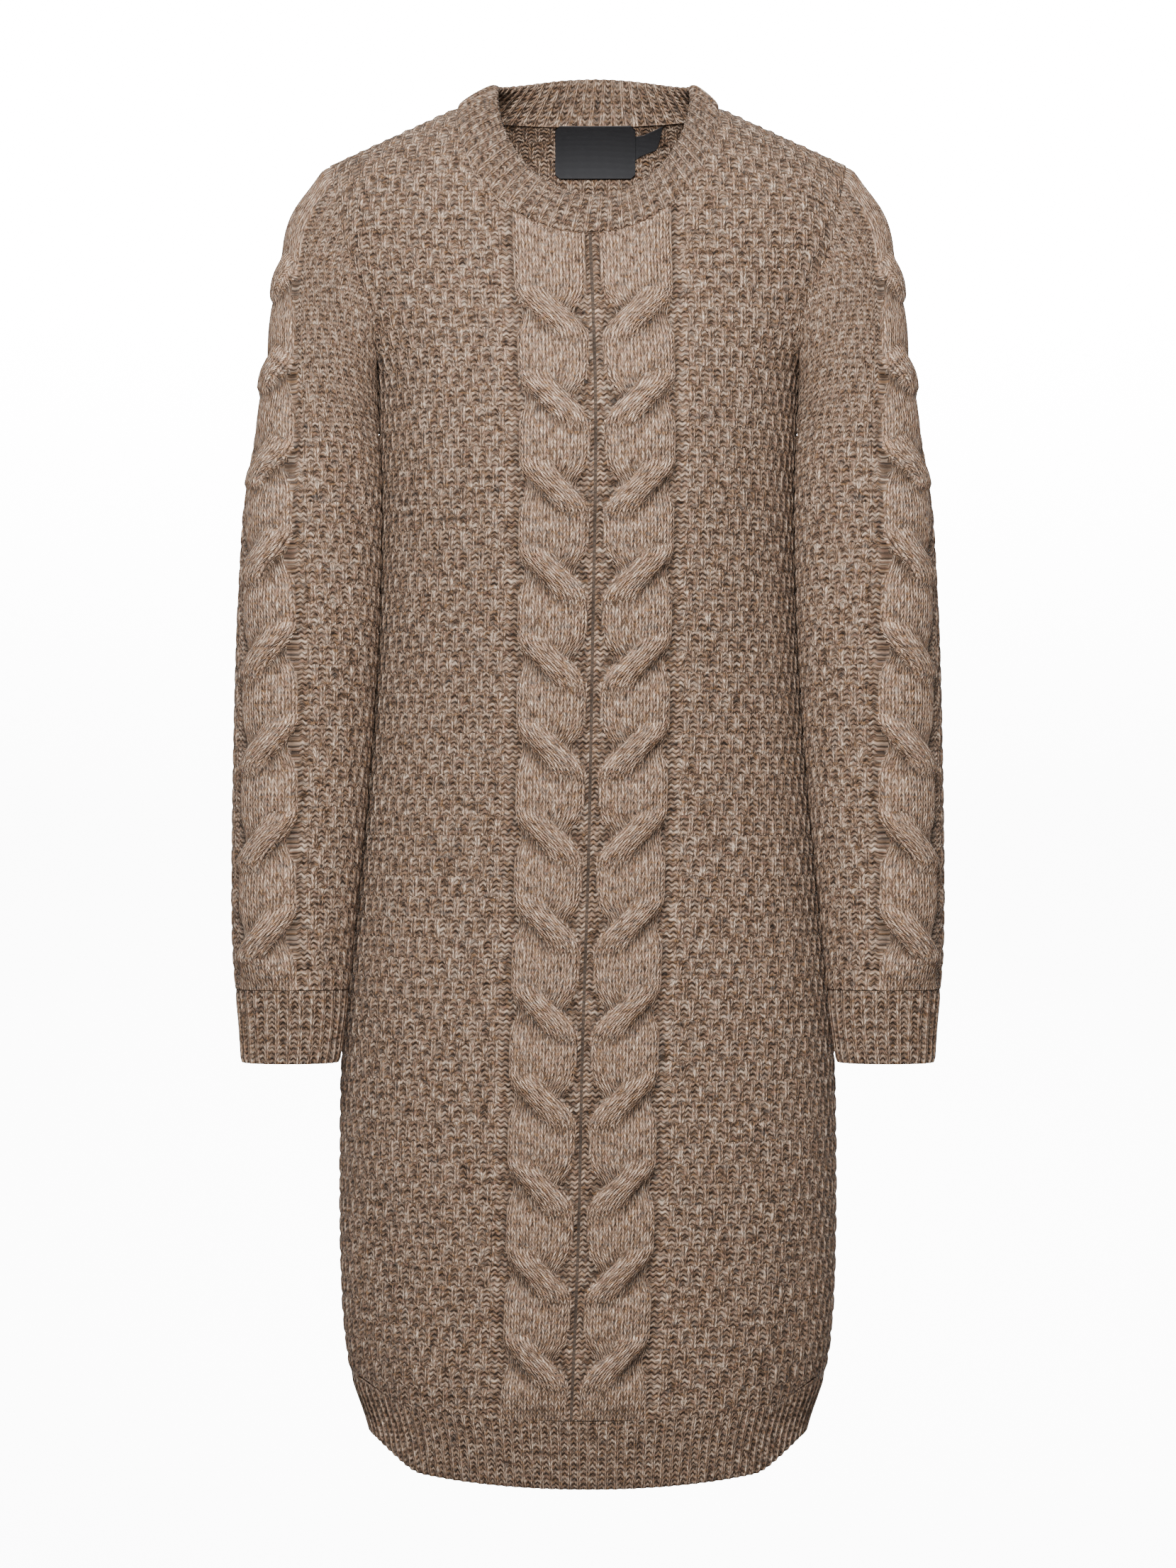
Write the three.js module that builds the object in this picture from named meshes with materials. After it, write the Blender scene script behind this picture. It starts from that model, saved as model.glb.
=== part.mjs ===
// Cable-knit sweater dress, worn shape with no wearer.
// Millimetres, +Z up, the front faces -Y, the wearer's left is +X.
// Z = 0 is the height where the shoulder seams meet the collar.
import * as THREE from 'three';

// Driving dimensions
const wall = 3;                  // thickness of the knitted cloth
const seamGap = 0.3;             // distance kept between sewn pieces
const squareness = 2.2;          // exponent of the body's rounded section
const sideY = 0;                 // depth of the side and shoulder seams
const neckHalfWidth = 86;
const neckFrontDrop = 90;
const neckBackDrop = 4;
const shoulderTipX = 171;
const shoulderTipZ = -38.5;
const shoulderRound = 70;        // height over which the shoulder rounds over
const armpitX = 142;
const armpitZ = -178;
const ribHeight = 44.5;          // hem rib at the middle
const ribLoss = 4.5;             // how much lower the rib is at the side seams
const hemLow = -901;             // lowest point of the hem
const hemRise = 15.5;            // how far the hem's corners rise to the side seams
const hemRiseFrom = 82;          // distance from the side seam where the rise starts
const hemRiseTo = 22;
const cuffTopZ = -582;
const cuffBottomZ = -630;
const collarThick = 5;
const cablePitch = 56.3;         // between crossings of the front cables
const cableFirstZ = -146;
const cableOffset = 26.6;        // from the middle line to each front cable
const sleeveCablePitch = 61.6;
const sleeveCableFirstZ = -116;
const cableLead = 23;            // half width of one rope cable
const ribColsOutside = 3;        // half ribs of the hem in each outer step of a panel
const ribColsInZone = 20;        // half ribs of the hem under the cable zone
const cuffRibCount = 28;
const collarRibCount = 52;
const labelWidth = 54;
const labelHeight = 33;
const labelMiddleX = 4.5;

// Body sections, a row for each height: half width, depth in front and behind
const bodySections = [
  { z: 30, half: 190, front: 47, back: 69 },
  { z: 0, half: 188, front: 53, back: 75 },
  { z: -43, half: 185, front: 61, back: 82 },
  { z: -90, half: 178, front: 72, back: 91 },
  { z: -140, half: 160, front: 84, back: 98 },
  { z: -178, half: 142, front: 97, back: 97 },
  { z: -230, half: 138, front: 107, back: 92 },
  { z: -300, half: 137.5, front: 106, back: 84 },
  { z: -380, half: 141, front: 102, back: 83 },
  { z: -450, half: 147, front: 100, back: 92 },
  { z: -520, half: 153.5, front: 101, back: 104 },
  { z: -600, half: 161.5, front: 104, back: 111 },
  { z: -680, half: 164, front: 106, back: 111 },
  { z: -780, half: 163, front: 106, back: 109 },
  { z: -834, half: 157.5, front: 105, back: 108 },
  { z: -874, half: 143.5, front: 102, back: 105 },
  { z: -910, half: 137, front: 99, back: 102 },
];

// Edge of the armhole seen from the front
const armholeEdge = [
  { z: -38.5, x: 171 },
  { z: -64, x: 166 },
  { z: -86, x: 162 },
  { z: -104, x: 156 },
  { z: -122, x: 148 },
  { z: -141, x: 141 },
  { z: -160, x: 138.5 },
  { z: -178, x: 142 },
];

// Middle line and half width of the cable zone on the front
const cableZone = [
  { z: -90, middle: 2.5, half: 52 },
  { z: -208, middle: 6, half: 51 },
  { z: -380, middle: 3.6, half: 50 },
  { z: -494, middle: 1.4, half: 49.2 },
  { z: -620, middle: -2.6, half: 48.5 },
  { z: -740, middle: -5.2, half: 48 },
  { z: -860, middle: -10, half: 47 },
];

// Soft folds: a groove between two points of a panel, with its width and depth
const folds = [
  { side: -1, fromX: 138, fromZ: -700, toX: 134, toZ: -862, width: 13, depth: 4.5 },
  { side: -1, fromX: -142, fromZ: -690, toX: -136, toZ: -862, width: 13, depth: 4.5 },
  { side: -1, fromX: 139, fromZ: -172, toX: 118, toZ: -120, width: 8, depth: 3 },
  { side: -1, fromX: -139, fromZ: -172, toX: -118, toZ: -120, width: 8, depth: 3 },
  { side: 1, fromX: 136, fromZ: -700, toX: 132, toZ: -862, width: 14, depth: 4 },
  { side: 1, fromX: -136, fromZ: -690, toX: -130, toZ: -862, width: 14, depth: 4 },
  { side: 1, fromX: 139, fromZ: -172, toX: 116, toZ: -126, width: 9, depth: 3 },
  { side: 1, fromX: -139, fromZ: -172, toX: -116, toZ: -126, width: 9, depth: 3 },
  { side: 1, fromX: -60, fromZ: -372, toX: 60, toZ: -380, width: 22, depth: 3.5 },
];

// Sleeve sections, a row for each: outer and inner point seen from the front,
// depth of the middle, half depth, and the angle of the cable from the front
const sleeveSections = [
  { outerX: 171, outerZ: -38.5, innerX: 142, innerZ: -178, middleY: 2, depth: 48, cable: 90 },
  { outerX: 179.5, outerZ: -50.5, innerX: 143.5, innerZ: -185, middleY: 0, depth: 49, cable: 86 },
  { outerX: 192, outerZ: -72, innerX: 143, innerZ: -193, middleY: -3, depth: 50, cable: 79 },
  { outerX: 198.5, outerZ: -98, innerX: 142, innerZ: -202, middleY: -6, depth: 51, cable: 71 },
  { outerX: 204.5, outerZ: -128, innerX: 141, innerZ: -212, middleY: -10, depth: 51, cable: 63 },
  { outerX: 209.5, outerZ: -160, innerX: 140, innerZ: -224, middleY: -14, depth: 51, cable: 56 },
  { outerX: 215, outerZ: -195, innerX: 139.5, innerZ: -239, middleY: -18, depth: 51, cable: 50 },
  { outerX: 221, outerZ: -232, innerX: 139.5, innerZ: -258, middleY: -22, depth: 51, cable: 45 },
  { outerX: 226.5, outerZ: -270, innerX: 140, innerZ: -283, middleY: -25, depth: 50, cable: 41 },
  { outerX: 228.8, outerZ: -310, innerX: 141.5, innerZ: -315, middleY: -28, depth: 49, cable: 37 },
  { outerX: 230.6, outerZ: -352, innerX: 143, innerZ: -353, middleY: -31, depth: 48, cable: 33 },
  { outerX: 231.8, outerZ: -400, innerX: 146, innerZ: -400, middleY: -34, depth: 46, cable: 30 },
  { outerX: 232.6, outerZ: -450, innerX: 150, innerZ: -450, middleY: -37, depth: 44, cable: 28 },
  { outerX: 233, outerZ: -500, innerX: 155, innerZ: -500, middleY: -41, depth: 41, cable: 27 },
  { outerX: 232.6, outerZ: -545, innerX: 160, innerZ: -545, middleY: -45, depth: 38, cable: 26 },
  { outerX: 230.5, outerZ: -582, innerX: 163.5, innerZ: -582, middleY: -48, depth: 35, cable: 26 },
];

// Cuff sections
const cuffSections = [
  { z: -582.3, outerX: 230, innerX: 164, depth: 34.5, middleY: -48 },
  { z: -598, outerX: 228.4, innerX: 165.5, depth: 32.5, middleY: -49 },
  { z: -614, outerX: 227, innerX: 166.8, depth: 31.4, middleY: -50 },
  { z: -630, outerX: 226, innerX: 168, depth: 31, middleY: -51 },
];

// Small helpers
const clamp = (value, low, high) => Math.min(high, Math.max(low, value));
const mix = (a, b, f) => a + (b - a) * f;
const ease = (low, high, value) => {
  const f = clamp((value - low) / (high - low), 0, 1);
  return f * f * (3 - 2 * f);
};
const vec = (x, y, z) => new THREE.Vector3(x, y, z);

// Smooth value of one column of a table, at a place along another column
function lookUp(table, key, name, at) {
  const rising = table[1][key] > table[0][key] ? 1 : -1;
  const last = table.length - 1;
  const value = (i) => table[clamp(i, 0, last)][name];
  const place = (i) => table[clamp(i, 0, last)][key];
  if ((at - place(0)) * rising <= 0) return value(0);
  if ((at - place(last)) * rising >= 0) return value(last);
  let i = 0;
  while ((at - place(i + 1)) * rising > 0) i += 1;
  const span = place(i + 1) - place(i);
  const f = (at - place(i)) / span;
  const slopeAt = (k) => (value(k + 1) - value(k - 1)) / (place(k + 1) - place(k - 1));
  const h = f * f * (3 - 2 * f);
  const tangentA = (f * f * f - 2 * f * f + f) * span * slopeAt(i);
  const tangentB = (f * f * f - f * f) * span * slopeAt(i + 1);
  return mix(value(i), value(i + 1), h) + tangentA + tangentB;
}

// Rope cable: a broad dome pinched at each crossing, and the strand that goes over it
function ropeHeight(across, along, pitch, outerSign, lean) {
  const apart = along / pitch - Math.round(along / pitch);
  const pinch = Math.exp(-((apart / 0.15) ** 2));
  const wide = Math.cos(apart * Math.PI) ** 2;
  const outward = across * outerSign;
  const domeMiddle = lean * (0.5 + 2.2 * pinch);
  const dome = 22.8 - 6.4 * pinch;
  const share = Math.sqrt(clamp(1 - Math.abs((outward - domeMiddle) / dome) ** 2.6, 0, 1));
  const strandMiddle = -12.5 * Math.sin(clamp(apart / 0.32, -1, 1) * Math.PI / 2);
  const side = (outward - strandMiddle) / 12.4;
  const drop = mix(1.4, 3.8, ease(-0.4, 0.4, side));
  const low = (5.2 - drop * wide) * share;
  const round = Math.sqrt(clamp(1 - Math.abs(side) ** 3, 0, 1));
  const sunk = 5 * (1 - ease(0.05, 0.5, wide));
  const high = (5.2 + 2.8 * wide - sunk) * round;
  const height = Math.max(low, high);
  return height > 0 ? height : -0.8;
}

// Body surface. side is -1 in front and 1 behind
function ridgeHeight(x) {
  const slope = (0 - shoulderTipZ) / (shoulderTipX - neckHalfWidth);
  const off = Math.abs(x) / neckHalfWidth;
  const rise = off > 1 ? 1 - off : (1 - off * off) / 2;
  return rise * neckHalfWidth * slope;
}

function foldDepth(side, x, z) {
  let total = 0;
  for (const fold of folds) {
    if (fold.side !== side) continue;
    const dx = fold.toX - fold.fromX;
    const dz = fold.toZ - fold.fromZ;
    const length2 = dx * dx + dz * dz;
    const f = clamp(((x - fold.fromX) * dx + (z - fold.fromZ) * dz) / length2, 0, 1);
    const off = Math.hypot(x - fold.fromX - f * dx, z - fold.fromZ - f * dz) / fold.width;
    const fadeIn = ease(0, 0.45, f) + 0.001;
    total += fold.depth * Math.exp(-off * off) * fadeIn;
  }
  return total;
}

function bodyDepth(side, x, z) {
  const half = lookUp(bodySections, 'z', 'half', z);
  const deep = lookUp(bodySections, 'z', side < 0 ? 'front' : 'back', z);
  const inside = clamp(1 - Math.abs(x / half) ** squareness, 0, 1);
  const rise = clamp((ridgeHeight(x) - z) / shoulderRound, 0, 1);
  const roundOver = Math.sqrt(clamp(1 - (1 - rise) ** 2, 0, 1));
  const depth = deep * inside ** (1 / squareness) * roundOver;
  const edge = ease(0, 30, depth);
  return sideY + side * (depth - foldDepth(side, x, z) * edge);
}

function edgeX(z) {
  if (z <= armpitZ) return lookUp(bodySections, 'z', 'half', z);
  return lookUp(armholeEdge, 'z', 'x', z);
}

// Place across the outer zone of a panel, by equal steps of cloth
function outerX(side, z, from, fraction) {
  const to = edgeX(z);
  const steps = 36;
  const xs = [];
  const lengths = [0];
  for (let i = 0; i <= steps; i += 1) {
    xs.push(from + (to - from) * Math.sin(i / steps * Math.PI / 2));
    if (i > 0) {
      const dx = xs[i] - xs[i - 1];
      const dy = bodyDepth(side, xs[i], z) - bodyDepth(side, xs[i - 1], z);
      lengths.push(lengths[i - 1] + Math.hypot(dx, dy));
    }
  }
  const wanted = lengths[steps] * fraction;
  let i = 0;
  while (i < steps - 1 && lengths[i + 1] < wanted) i += 1;
  const f = clamp((wanted - lengths[i]) / (lengths[i + 1] - lengths[i]), 0, 1);
  return mix(xs[i], xs[i + 1], f);
}

// Cloth length from a place on the panel to the side seam
function toSeam(side, x, z) {
  const steps = 16;
  const half = lookUp(bodySections, 'z', 'half', z);
  let length = 0;
  let last = [Math.abs(x), bodyDepth(side, Math.abs(x), z)];
  for (let i = 1; i <= steps; i += 1) {
    const at = Math.abs(x) + (half - Math.abs(x)) * Math.sin(i / steps * Math.PI / 2);
    const next = [at, bodyDepth(side, at, z)];
    length += Math.hypot(next[0] - last[0], next[1] - last[1]);
    last = next;
  }
  return length;
}

function hemZ(side, x) {
  const away = toSeam(side, x, -850);
  const corner = hemRise * (1 - ease(hemRiseTo, hemRiseFrom, away));
  return hemLow + corner + 4.3 * (x / 100) ** 2;
}

function ribTopZ(side, x) {
  const away = toSeam(side, x, -850);
  return hemZ(side, x) + ribHeight - ribLoss * (1 - ease(0, 90, away));
}

// Panels. across runs from -2 to 2, with the cable zone from -1 to 1;
// up runs from 0 at the hem rib to 1, to 2 at the armpits and to 3 at the top
const levelRow = -760;
const neckFraction = 4 / 11;     // share of the outer zone that lies on the neckline

function panelTop(side, across) {
  const zone = lookUp(cableZone, 'z', 'half', -90);
  const sign = Math.sign(across) || 1;
  const drop = side < 0 ? neckFrontDrop : neckBackDrop;
  const part = Math.abs(across) - 1;
  if (part <= 0) {
    const x = across * zone;
    return { x, z: -drop * Math.sqrt(1 - (x / neckHalfWidth) ** 2) };
  }
  if (part <= neckFraction) {
    const first = Math.acos(zone / neckHalfWidth);
    const angle = first * (1 - part / neckFraction);
    return { x: sign * neckHalfWidth * Math.cos(angle), z: -drop * Math.sin(angle) };
  }
  const f = (part - neckFraction) / (1 - neckFraction);
  return {
    x: sign * mix(neckHalfWidth, shoulderTipX, f),
    z: mix(0, shoulderTipZ, f),
  };
}

function panelPoint(side, across, up) {
  const sign = Math.sign(across) || 1;
  const part = clamp(Math.abs(across) - 1, 0, 1);
  const placeAt = (z) => {
    const middle = lookUp(cableZone, 'z', 'middle', z);
    const zone = lookUp(cableZone, 'z', 'half', z);
    if (part === 0) return middle + across * zone;
    return sign * outerX(side, z, zone + sign * middle, part);
  };
  if (up <= 1) {
    let x = placeAt(ribTopZ(side, placeAt(-850)));
    const z = mix(ribTopZ(side, x), levelRow, up);
    x = part === 1 ? sign * edgeX(z) : placeAt(z);
    return { x, z };
  }
  if (up <= 2) {
    const z = mix(levelRow, armpitZ, up - 1);
    return { x: part === 1 ? sign * edgeX(z) : placeAt(z), z };
  }
  const climb = up - 2;
  const top = panelTop(side, across);
  const rounded = (1 - Math.cos(climb * Math.PI)) / 2;
  const crowded = Math.sin(climb * Math.PI / 2);
  const shoulder = mix(climb, crowded, ease(0, neckFraction, part));
  const z = mix(armpitZ, top.z, mix(shoulder, rounded, part ** 4));
  const loose = part === 1 ? sign * edgeX(z) : placeAt(Math.min(z, -50));
  const pull = part === 1 ? 0 : climb ** 3;
  return { x: mix(loose, top.x, pull), z };
}

function bodySpot(side, across, up) {
  const { x, z } = panelPoint(side, across, up);
  return vec(x, bodyDepth(side, x, z), z);
}

function bodyNormal(side, x, z) {
  const step = 0.4;
  const reach = edgeX(z) - 1;
  const px = z < armpitZ ? clamp(x, -reach, reach) : x;
  const pz = Math.min(z, ridgeHeight(px) - 1);
  const dx = (bodyDepth(side, px + step, pz) - bodyDepth(side, px - step, pz)) / (2 * step);
  const dz = (bodyDepth(side, px, pz + step) - bodyDepth(side, px, pz - step)) / (2 * step);
  return vec(-dx * side, side, -dz * side).normalize();
}

// Armhole loop. 0 is the front, 90 the shoulder tip, 180 the back, 270 the armpit
const loopMiddle = vec((shoulderTipX + armpitX) / 2, sideY, (shoulderTipZ + armpitZ) / 2);
const loopUp = vec(shoulderTipX - armpitX, 0, shoulderTipZ - armpitZ).normalize();
const loopOut = vec(loopUp.z, 0, -loopUp.x);

function armholeSpot(degrees) {
  const angle = degrees * Math.PI / 180;
  const z = mix(armpitZ, shoulderTipZ, (1 + Math.sin(angle)) / 2);
  const x = edgeX(Math.min(z, shoulderTipZ));
  const side = Math.cos(angle) >= 0 ? -1 : 1;
  const flat = Math.abs(Math.cos(angle)) < 1e-6;
  return vec(x, flat ? sideY : bodyDepth(side, x, z), z);
}

function armholeInward(degrees) {
  const spot = armholeSpot(degrees);
  const toMiddle = loopMiddle.clone().sub(spot).setX(0).normalize();
  const lean = vec(-0.75, 0, 0);
  return toMiddle.add(lean).normalize();
}

// Closed wall from an outer grid and a coarser plain inner grid
function spaced(count, step) {
  const list = [];
  for (let i = 0; i < count; i += step) list.push(i);
  list.push(count);
  return list;
}

function wallGeometry({ rows, cols, outer, inner, fewRows, fewCols, closed, reversed,
  slantFrom = Infinity }) {
  const points = [];
  const triangles = [];
  const keep = (p) => {
    points.push(p.x, p.y, p.z);
    return points.length / 3 - 1;
  };
  const add = (a, b, c) => {
    if (reversed) triangles.push(a, c, b);
    else triangles.push(a, b, c);
  };
  const makeGrid = (rowList, colList, place) => rowList.map((i) => {
    const line = colList.map((j) => (closed && j === cols ? -1 : keep(place(i, j))));
    if (closed) line[line.length - 1] = line[0];
    return line;
  });
  const allRows = spaced(rows, 1);
  const allCols = spaced(cols, 1);
  const outside = makeGrid(allRows, allCols, outer);
  const inside = makeGrid(fewRows, fewCols, inner);
  const fill = (grid, turned) => {
    for (let i = 0; i + 1 < grid.length; i += 1) {
      for (let j = 0; j + 1 < grid[0].length; j += 1) {
        const [a, b] = [grid[i][j], grid[i][j + 1]];
        const [c, d] = [grid[i + 1][j], grid[i + 1][j + 1]];
        if (turned) {
          add(a, c, b);
          add(b, c, d);
        } else if (j >= slantFrom) {
          add(a, b, d);
          add(a, d, c);
        } else {
          add(a, b, c);
          add(b, d, c);
        }
      }
    }
  };
  fill(outside, false);
  fill(inside, true);
  const zip = (fine, fineAt, few, fewAt, turned) => {
    let i = 0;
    let j = 0;
    while (i + 1 < fine.length || j + 1 < few.length) {
      const fineNext = i + 1 < fine.length ? (fineAt[i] + fineAt[i + 1]) / 2 : Infinity;
      const fewNext = j + 1 < few.length ? (fewAt[j] + fewAt[j + 1]) / 2 : Infinity;
      const corner = fineNext <= fewNext ? fine[i + 1] : few[j + 1];
      if (turned) add(fine[i], few[j], corner);
      else add(fine[i], corner, few[j]);
      if (fineNext <= fewNext) i += 1;
      else j += 1;
    }
  };
  const column = (grid, j) => grid.map((line) => line[j]);
  zip(outside[0], allCols, inside[0], fewCols, true);
  zip(outside.at(-1), allCols, inside.at(-1), fewCols, false);
  if (!closed) {
    zip(column(outside, 0), allRows, column(inside, 0), fewRows, false);
    zip(column(outside, cols), allRows, column(inside, fewCols.length - 1), fewRows, true);
  }
  const geometry = new THREE.BufferGeometry();
  geometry.setAttribute('position', new THREE.Float32BufferAttribute(points, 3));
  geometry.setIndex(triangles);
  geometry.computeVertexNormals();
  return geometry;
}

const dress = new THREE.Group();
const wool = { color: 0x8d7766, roughness: 0.95, metalness: 0 };
const ribWool = { color: 0x7d6757, roughness: 0.95, metalness: 0 };
const black = { color: 0x17171a, roughness: 0.8, metalness: 0 };

function addPiece(name, geometry, look) {
  const mesh = new THREE.Mesh(geometry, new THREE.MeshStandardMaterial(look));
  mesh.name = name;
  dress.add(mesh);
}

// Front and back panels
function panelGrid({ side, zoneCols, outerCols, hemRows, middleRows, topRows, innerStep }) {
  const cols = zoneCols + 2 * outerCols;
  const rows = hemRows + middleRows + topRows;
  const acrossAt = (j) => {
    if (j < outerCols) return -2 + j / outerCols;
    if (j <= outerCols + zoneCols) return -1 + 2 * (j - outerCols) / zoneCols;
    return 1 + (j - outerCols - zoneCols) / outerCols;
  };
  const upAt = (i) => {
    if (i <= hemRows) return i / hemRows;
    if (i <= hemRows + middleRows) return 1 + (i - hemRows) / middleRows;
    return 2 + (i - hemRows - middleRows) / topRows;
  };
  const fewCols = spaced(cols, 1).filter((j) => {
    const inZone = j > outerCols && j < outerCols + zoneCols;
    return !inZone || (j - outerCols) % 2 === 0;
  });
  const below = hemRows + middleRows;
  const fewRows = spaced(rows, 1).filter((i) => i >= below || (below - i) % innerStep === 0 || i === 0);
  return { side, cols, rows, outerCols, zoneCols, acrossAt, upAt, fewCols, fewRows };
}

function frontRelief(x, z) {
  const middle = lookUp(cableZone, 'z', 'middle', z);
  const stretch = lookUp(cableZone, 'z', 'half', z) / 49.6;
  const sign = x >= middle ? 1 : -1;
  const across = ((x - middle) * sign / stretch - cableOffset) * sign;
  return ropeHeight(across, cableFirstZ - z, cablePitch, sign, 1);
}

// Outer point, inner point and edges of a panel
function panelPlaces(grid, relief) {
  const { side } = grid;
  const build = (i, j) => {
    const across = grid.acrossAt(j);
    const up = grid.upAt(i);
    const spot = bodySpot(side, across, up);
    const normal = bodyNormal(side, spot.x, spot.z);
    const sign = Math.sign(across) || 1;
    const atSide = Math.abs(across) === 2 && up <= 2;
    const atArmhole = Math.abs(across) === 2 && up > 2 && up < 3;
    const atTop = up === 3;
    const atShoulder = atTop && Math.abs(across) >= 1 + neckFraction;
    if (atSide || atShoulder) {
      spot.y = sideY + side * seamGap / 2;
      normal.copy(atSide ? vec(sign, 0, 0) : vec(0.45 * sign, 0, 0.893));
    }
    let inward = normal.clone().negate();
    const sunkTip = Math.abs(across) === 2 && up >= 2;
    if (sunkTip) {
      const level = (spot.z - armpitZ) / (shoulderTipZ - armpitZ);
      const angle = Math.asin(clamp(2 * level - 1, -1, 1)) * 180 / Math.PI;
      const lean = armholeInward(side < 0 ? angle : 180 - angle);
      inward = vec(lean.x * sign, lean.y, lean.z);
      if (!atArmhole) inward.setY(0).normalize();
    }
    const fromEdge = Math.min(1, (2 - Math.abs(across)) * 8, i / 1.5, (grid.rows - i) / 1.5);
    const bump = relief ? relief(spot.x, spot.z) * clamp(fromEdge, 0, 1) : 0;
    return { spot, normal, inward, bump };
  };
  const outer = (i, j) => {
    const p = build(i, j);
    return p.spot.clone().addScaledVector(p.normal, p.bump);
  };
  const inner = (i, j) => {
    const p = build(i, j);
    return p.spot.clone().addScaledVector(p.inward, wall);
  };
  return { outer, inner };
}

const frontGrid = panelGrid({ side: -1, zoneCols: 20, outerCols: 11, hemRows: 8, middleRows: 42,
  topRows: 10, innerStep: 5 });
const frontPlaces = panelPlaces(frontGrid, frontRelief);
addPiece('front', wallGeometry({ ...frontGrid, ...frontPlaces,
  closed: false, reversed: false, slantFrom: frontGrid.cols / 2 }), wool);

const backGrid = panelGrid({ side: 1, zoneCols: 10, outerCols: 11, hemRows: 2, middleRows: 9,
  topRows: 10, innerStep: 1 });
const backPlaces = panelPlaces(backGrid, null);
addPiece('back', wallGeometry({ ...backGrid, ...backPlaces,
  closed: false, reversed: true }), wool);

// Hem ribs. The upper edge lies on the straight steps of the panel's lower edge
function hemRib(name, grid, places, look) {
  const { side } = grid;
  const { outerCols, zoneCols } = grid;
  const sideRibs = outerCols * ribColsOutside;
  const cols = 2 * sideRibs + ribColsInZone;
  const rows = 2;
  const span = (j) => {
    if (j <= sideRibs) return j / ribColsOutside;
    if (j <= sideRibs + ribColsInZone) {
      return outerCols + (j - sideRibs) * zoneCols / ribColsInZone;
    }
    return outerCols + zoneCols + (j - sideRibs - ribColsInZone) / ribColsOutside;
  };
  const onEdge = (place, corners, j) => {
    let k = 0;
    while (k < corners.length - 2 && corners[k + 1] < span(j)) k += 1;
    const f = (span(j) - corners[k]) / (corners[k + 1] - corners[k]);
    return place(0, corners[k]).lerp(place(0, corners[k + 1]), f);
  };
  const everyCol = spaced(grid.cols, 1);
  const ribDrop = 1.4 * seamGap;   // the edge slopes, so the gap across it is less
  const build = (i, j) => {
    const column = span(j);
    const at = clamp(Math.floor(column), 0, grid.cols - 1);
    const across = mix(grid.acrossAt(at), grid.acrossAt(at + 1), column - at);
    const lowX = panelPoint(side, across, 0).x;
    const low = hemZ(side, lowX);
    const high = ribTopZ(side, lowX);
    const atEnd = j === 0 || j === cols;
    const z = mix(low, high - 1, i / rows);
    const reach = edgeX(z) - (atEnd ? 0 : 0.4);
    const x = atEnd ? Math.sign(across) * reach : clamp(lowX * edgeX(z) / edgeX(high), -reach, reach);
    const spot = vec(x, bodyDepth(side, x, z), z);
    const normal = bodyNormal(side, x, z);
    if (atEnd) {
      spot.y = sideY + side * seamGap / 2;
      normal.set(Math.sign(across), 0, 0);
    }
    return { spot, normal };
  };
  const outer = (i, j) => {
    const raised = j % 2 === 1 ? 1.3 : 0;
    if (i === rows) return onEdge(places.outer, everyCol, j).add(vec(0, 0, -ribDrop));
    const p = build(i, j);
    return p.spot.clone().addScaledVector(p.normal, raised);
  };
  const inner = (i, j) => {
    if (i === rows) return onEdge(places.inner, grid.fewCols, j).add(vec(0, 0, -ribDrop));
    const p = build(i, j);
    return p.spot.clone().addScaledVector(p.normal, -wall);
  };
  addPiece(name, wallGeometry({ rows, cols, outer, inner,
    fewRows: [0, rows], fewCols: spaced(cols, 1), closed: false, reversed: side > 0 }), look);
}

hemRib('hem_rib_front', frontGrid, frontPlaces, ribWool);
hemRib('hem_rib_back', backGrid, backPlaces, ribWool);

// Sleeves
const sleeveTable = sleeveSections.map((row, index) => ({ ...row, at: index }));

function sleeveSection(at) {
  const read = (name) => lookUp(sleeveTable, 'at', name, at);
  const outerSpot = vec(read('outerX'), 0, read('outerZ'));
  const innerSpot = vec(read('innerX'), 0, read('innerZ'));
  const middle = outerSpot.clone().add(innerSpot).multiplyScalar(0.5).setY(read('middleY'));
  const reach = outerSpot.clone().sub(innerSpot).multiplyScalar(0.5);
  return { middle, reach, depth: read('depth'), cable: read('cable') };
}

// Keeps a sleeve point clear of the body beside it
function besideBody(spot, gap, softness) {
  const half = lookUp(bodySections, 'z', 'half', spot.z);
  const share = 1 - ease(armpitZ + 22, armpitZ + 50, spot.z);
  const side = spot.y < sideY ? -1 : 1;
  const deep = lookUp(bodySections, 'z', side < 0 ? 'front' : 'back', spot.z);
  const f = clamp(1 - Math.abs((spot.y - sideY) / deep) ** squareness, 0, 1);
  const least = half * f ** (1 / squareness) + gap;
  const over = spot.x - least;
  const clear = least + (over + Math.hypot(over, softness)) / 2;
  spot.x = mix(spot.x, clear, share);
  return spot;
}

function sleeveSpot(at, degrees) {
  const { middle, reach, depth } = sleeveSection(at);
  const angle = degrees * Math.PI / 180;
  const spot = middle.clone().addScaledVector(reach, Math.sin(angle));
  spot.y -= depth * Math.cos(angle);
  const first = sleeveSection(0);
  const plain = first.middle.clone().addScaledVector(first.reach, Math.sin(angle));
  plain.y -= first.depth * Math.cos(angle);
  const fade = 1 - ease(0, 5, at);
  spot.add(armholeSpot(degrees).sub(plain).multiplyScalar(fade));
  if (at > 0) besideBody(spot, 0.3 + 1.1 * clamp(at / 3, 0, 1), 0.6 + 2.4 * clamp(at / 3, 0, 1));
  return spot.addScaledVector(loopOut, (seamGap + 0.05) * (1 - ease(0, 3, at)));
}

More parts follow.
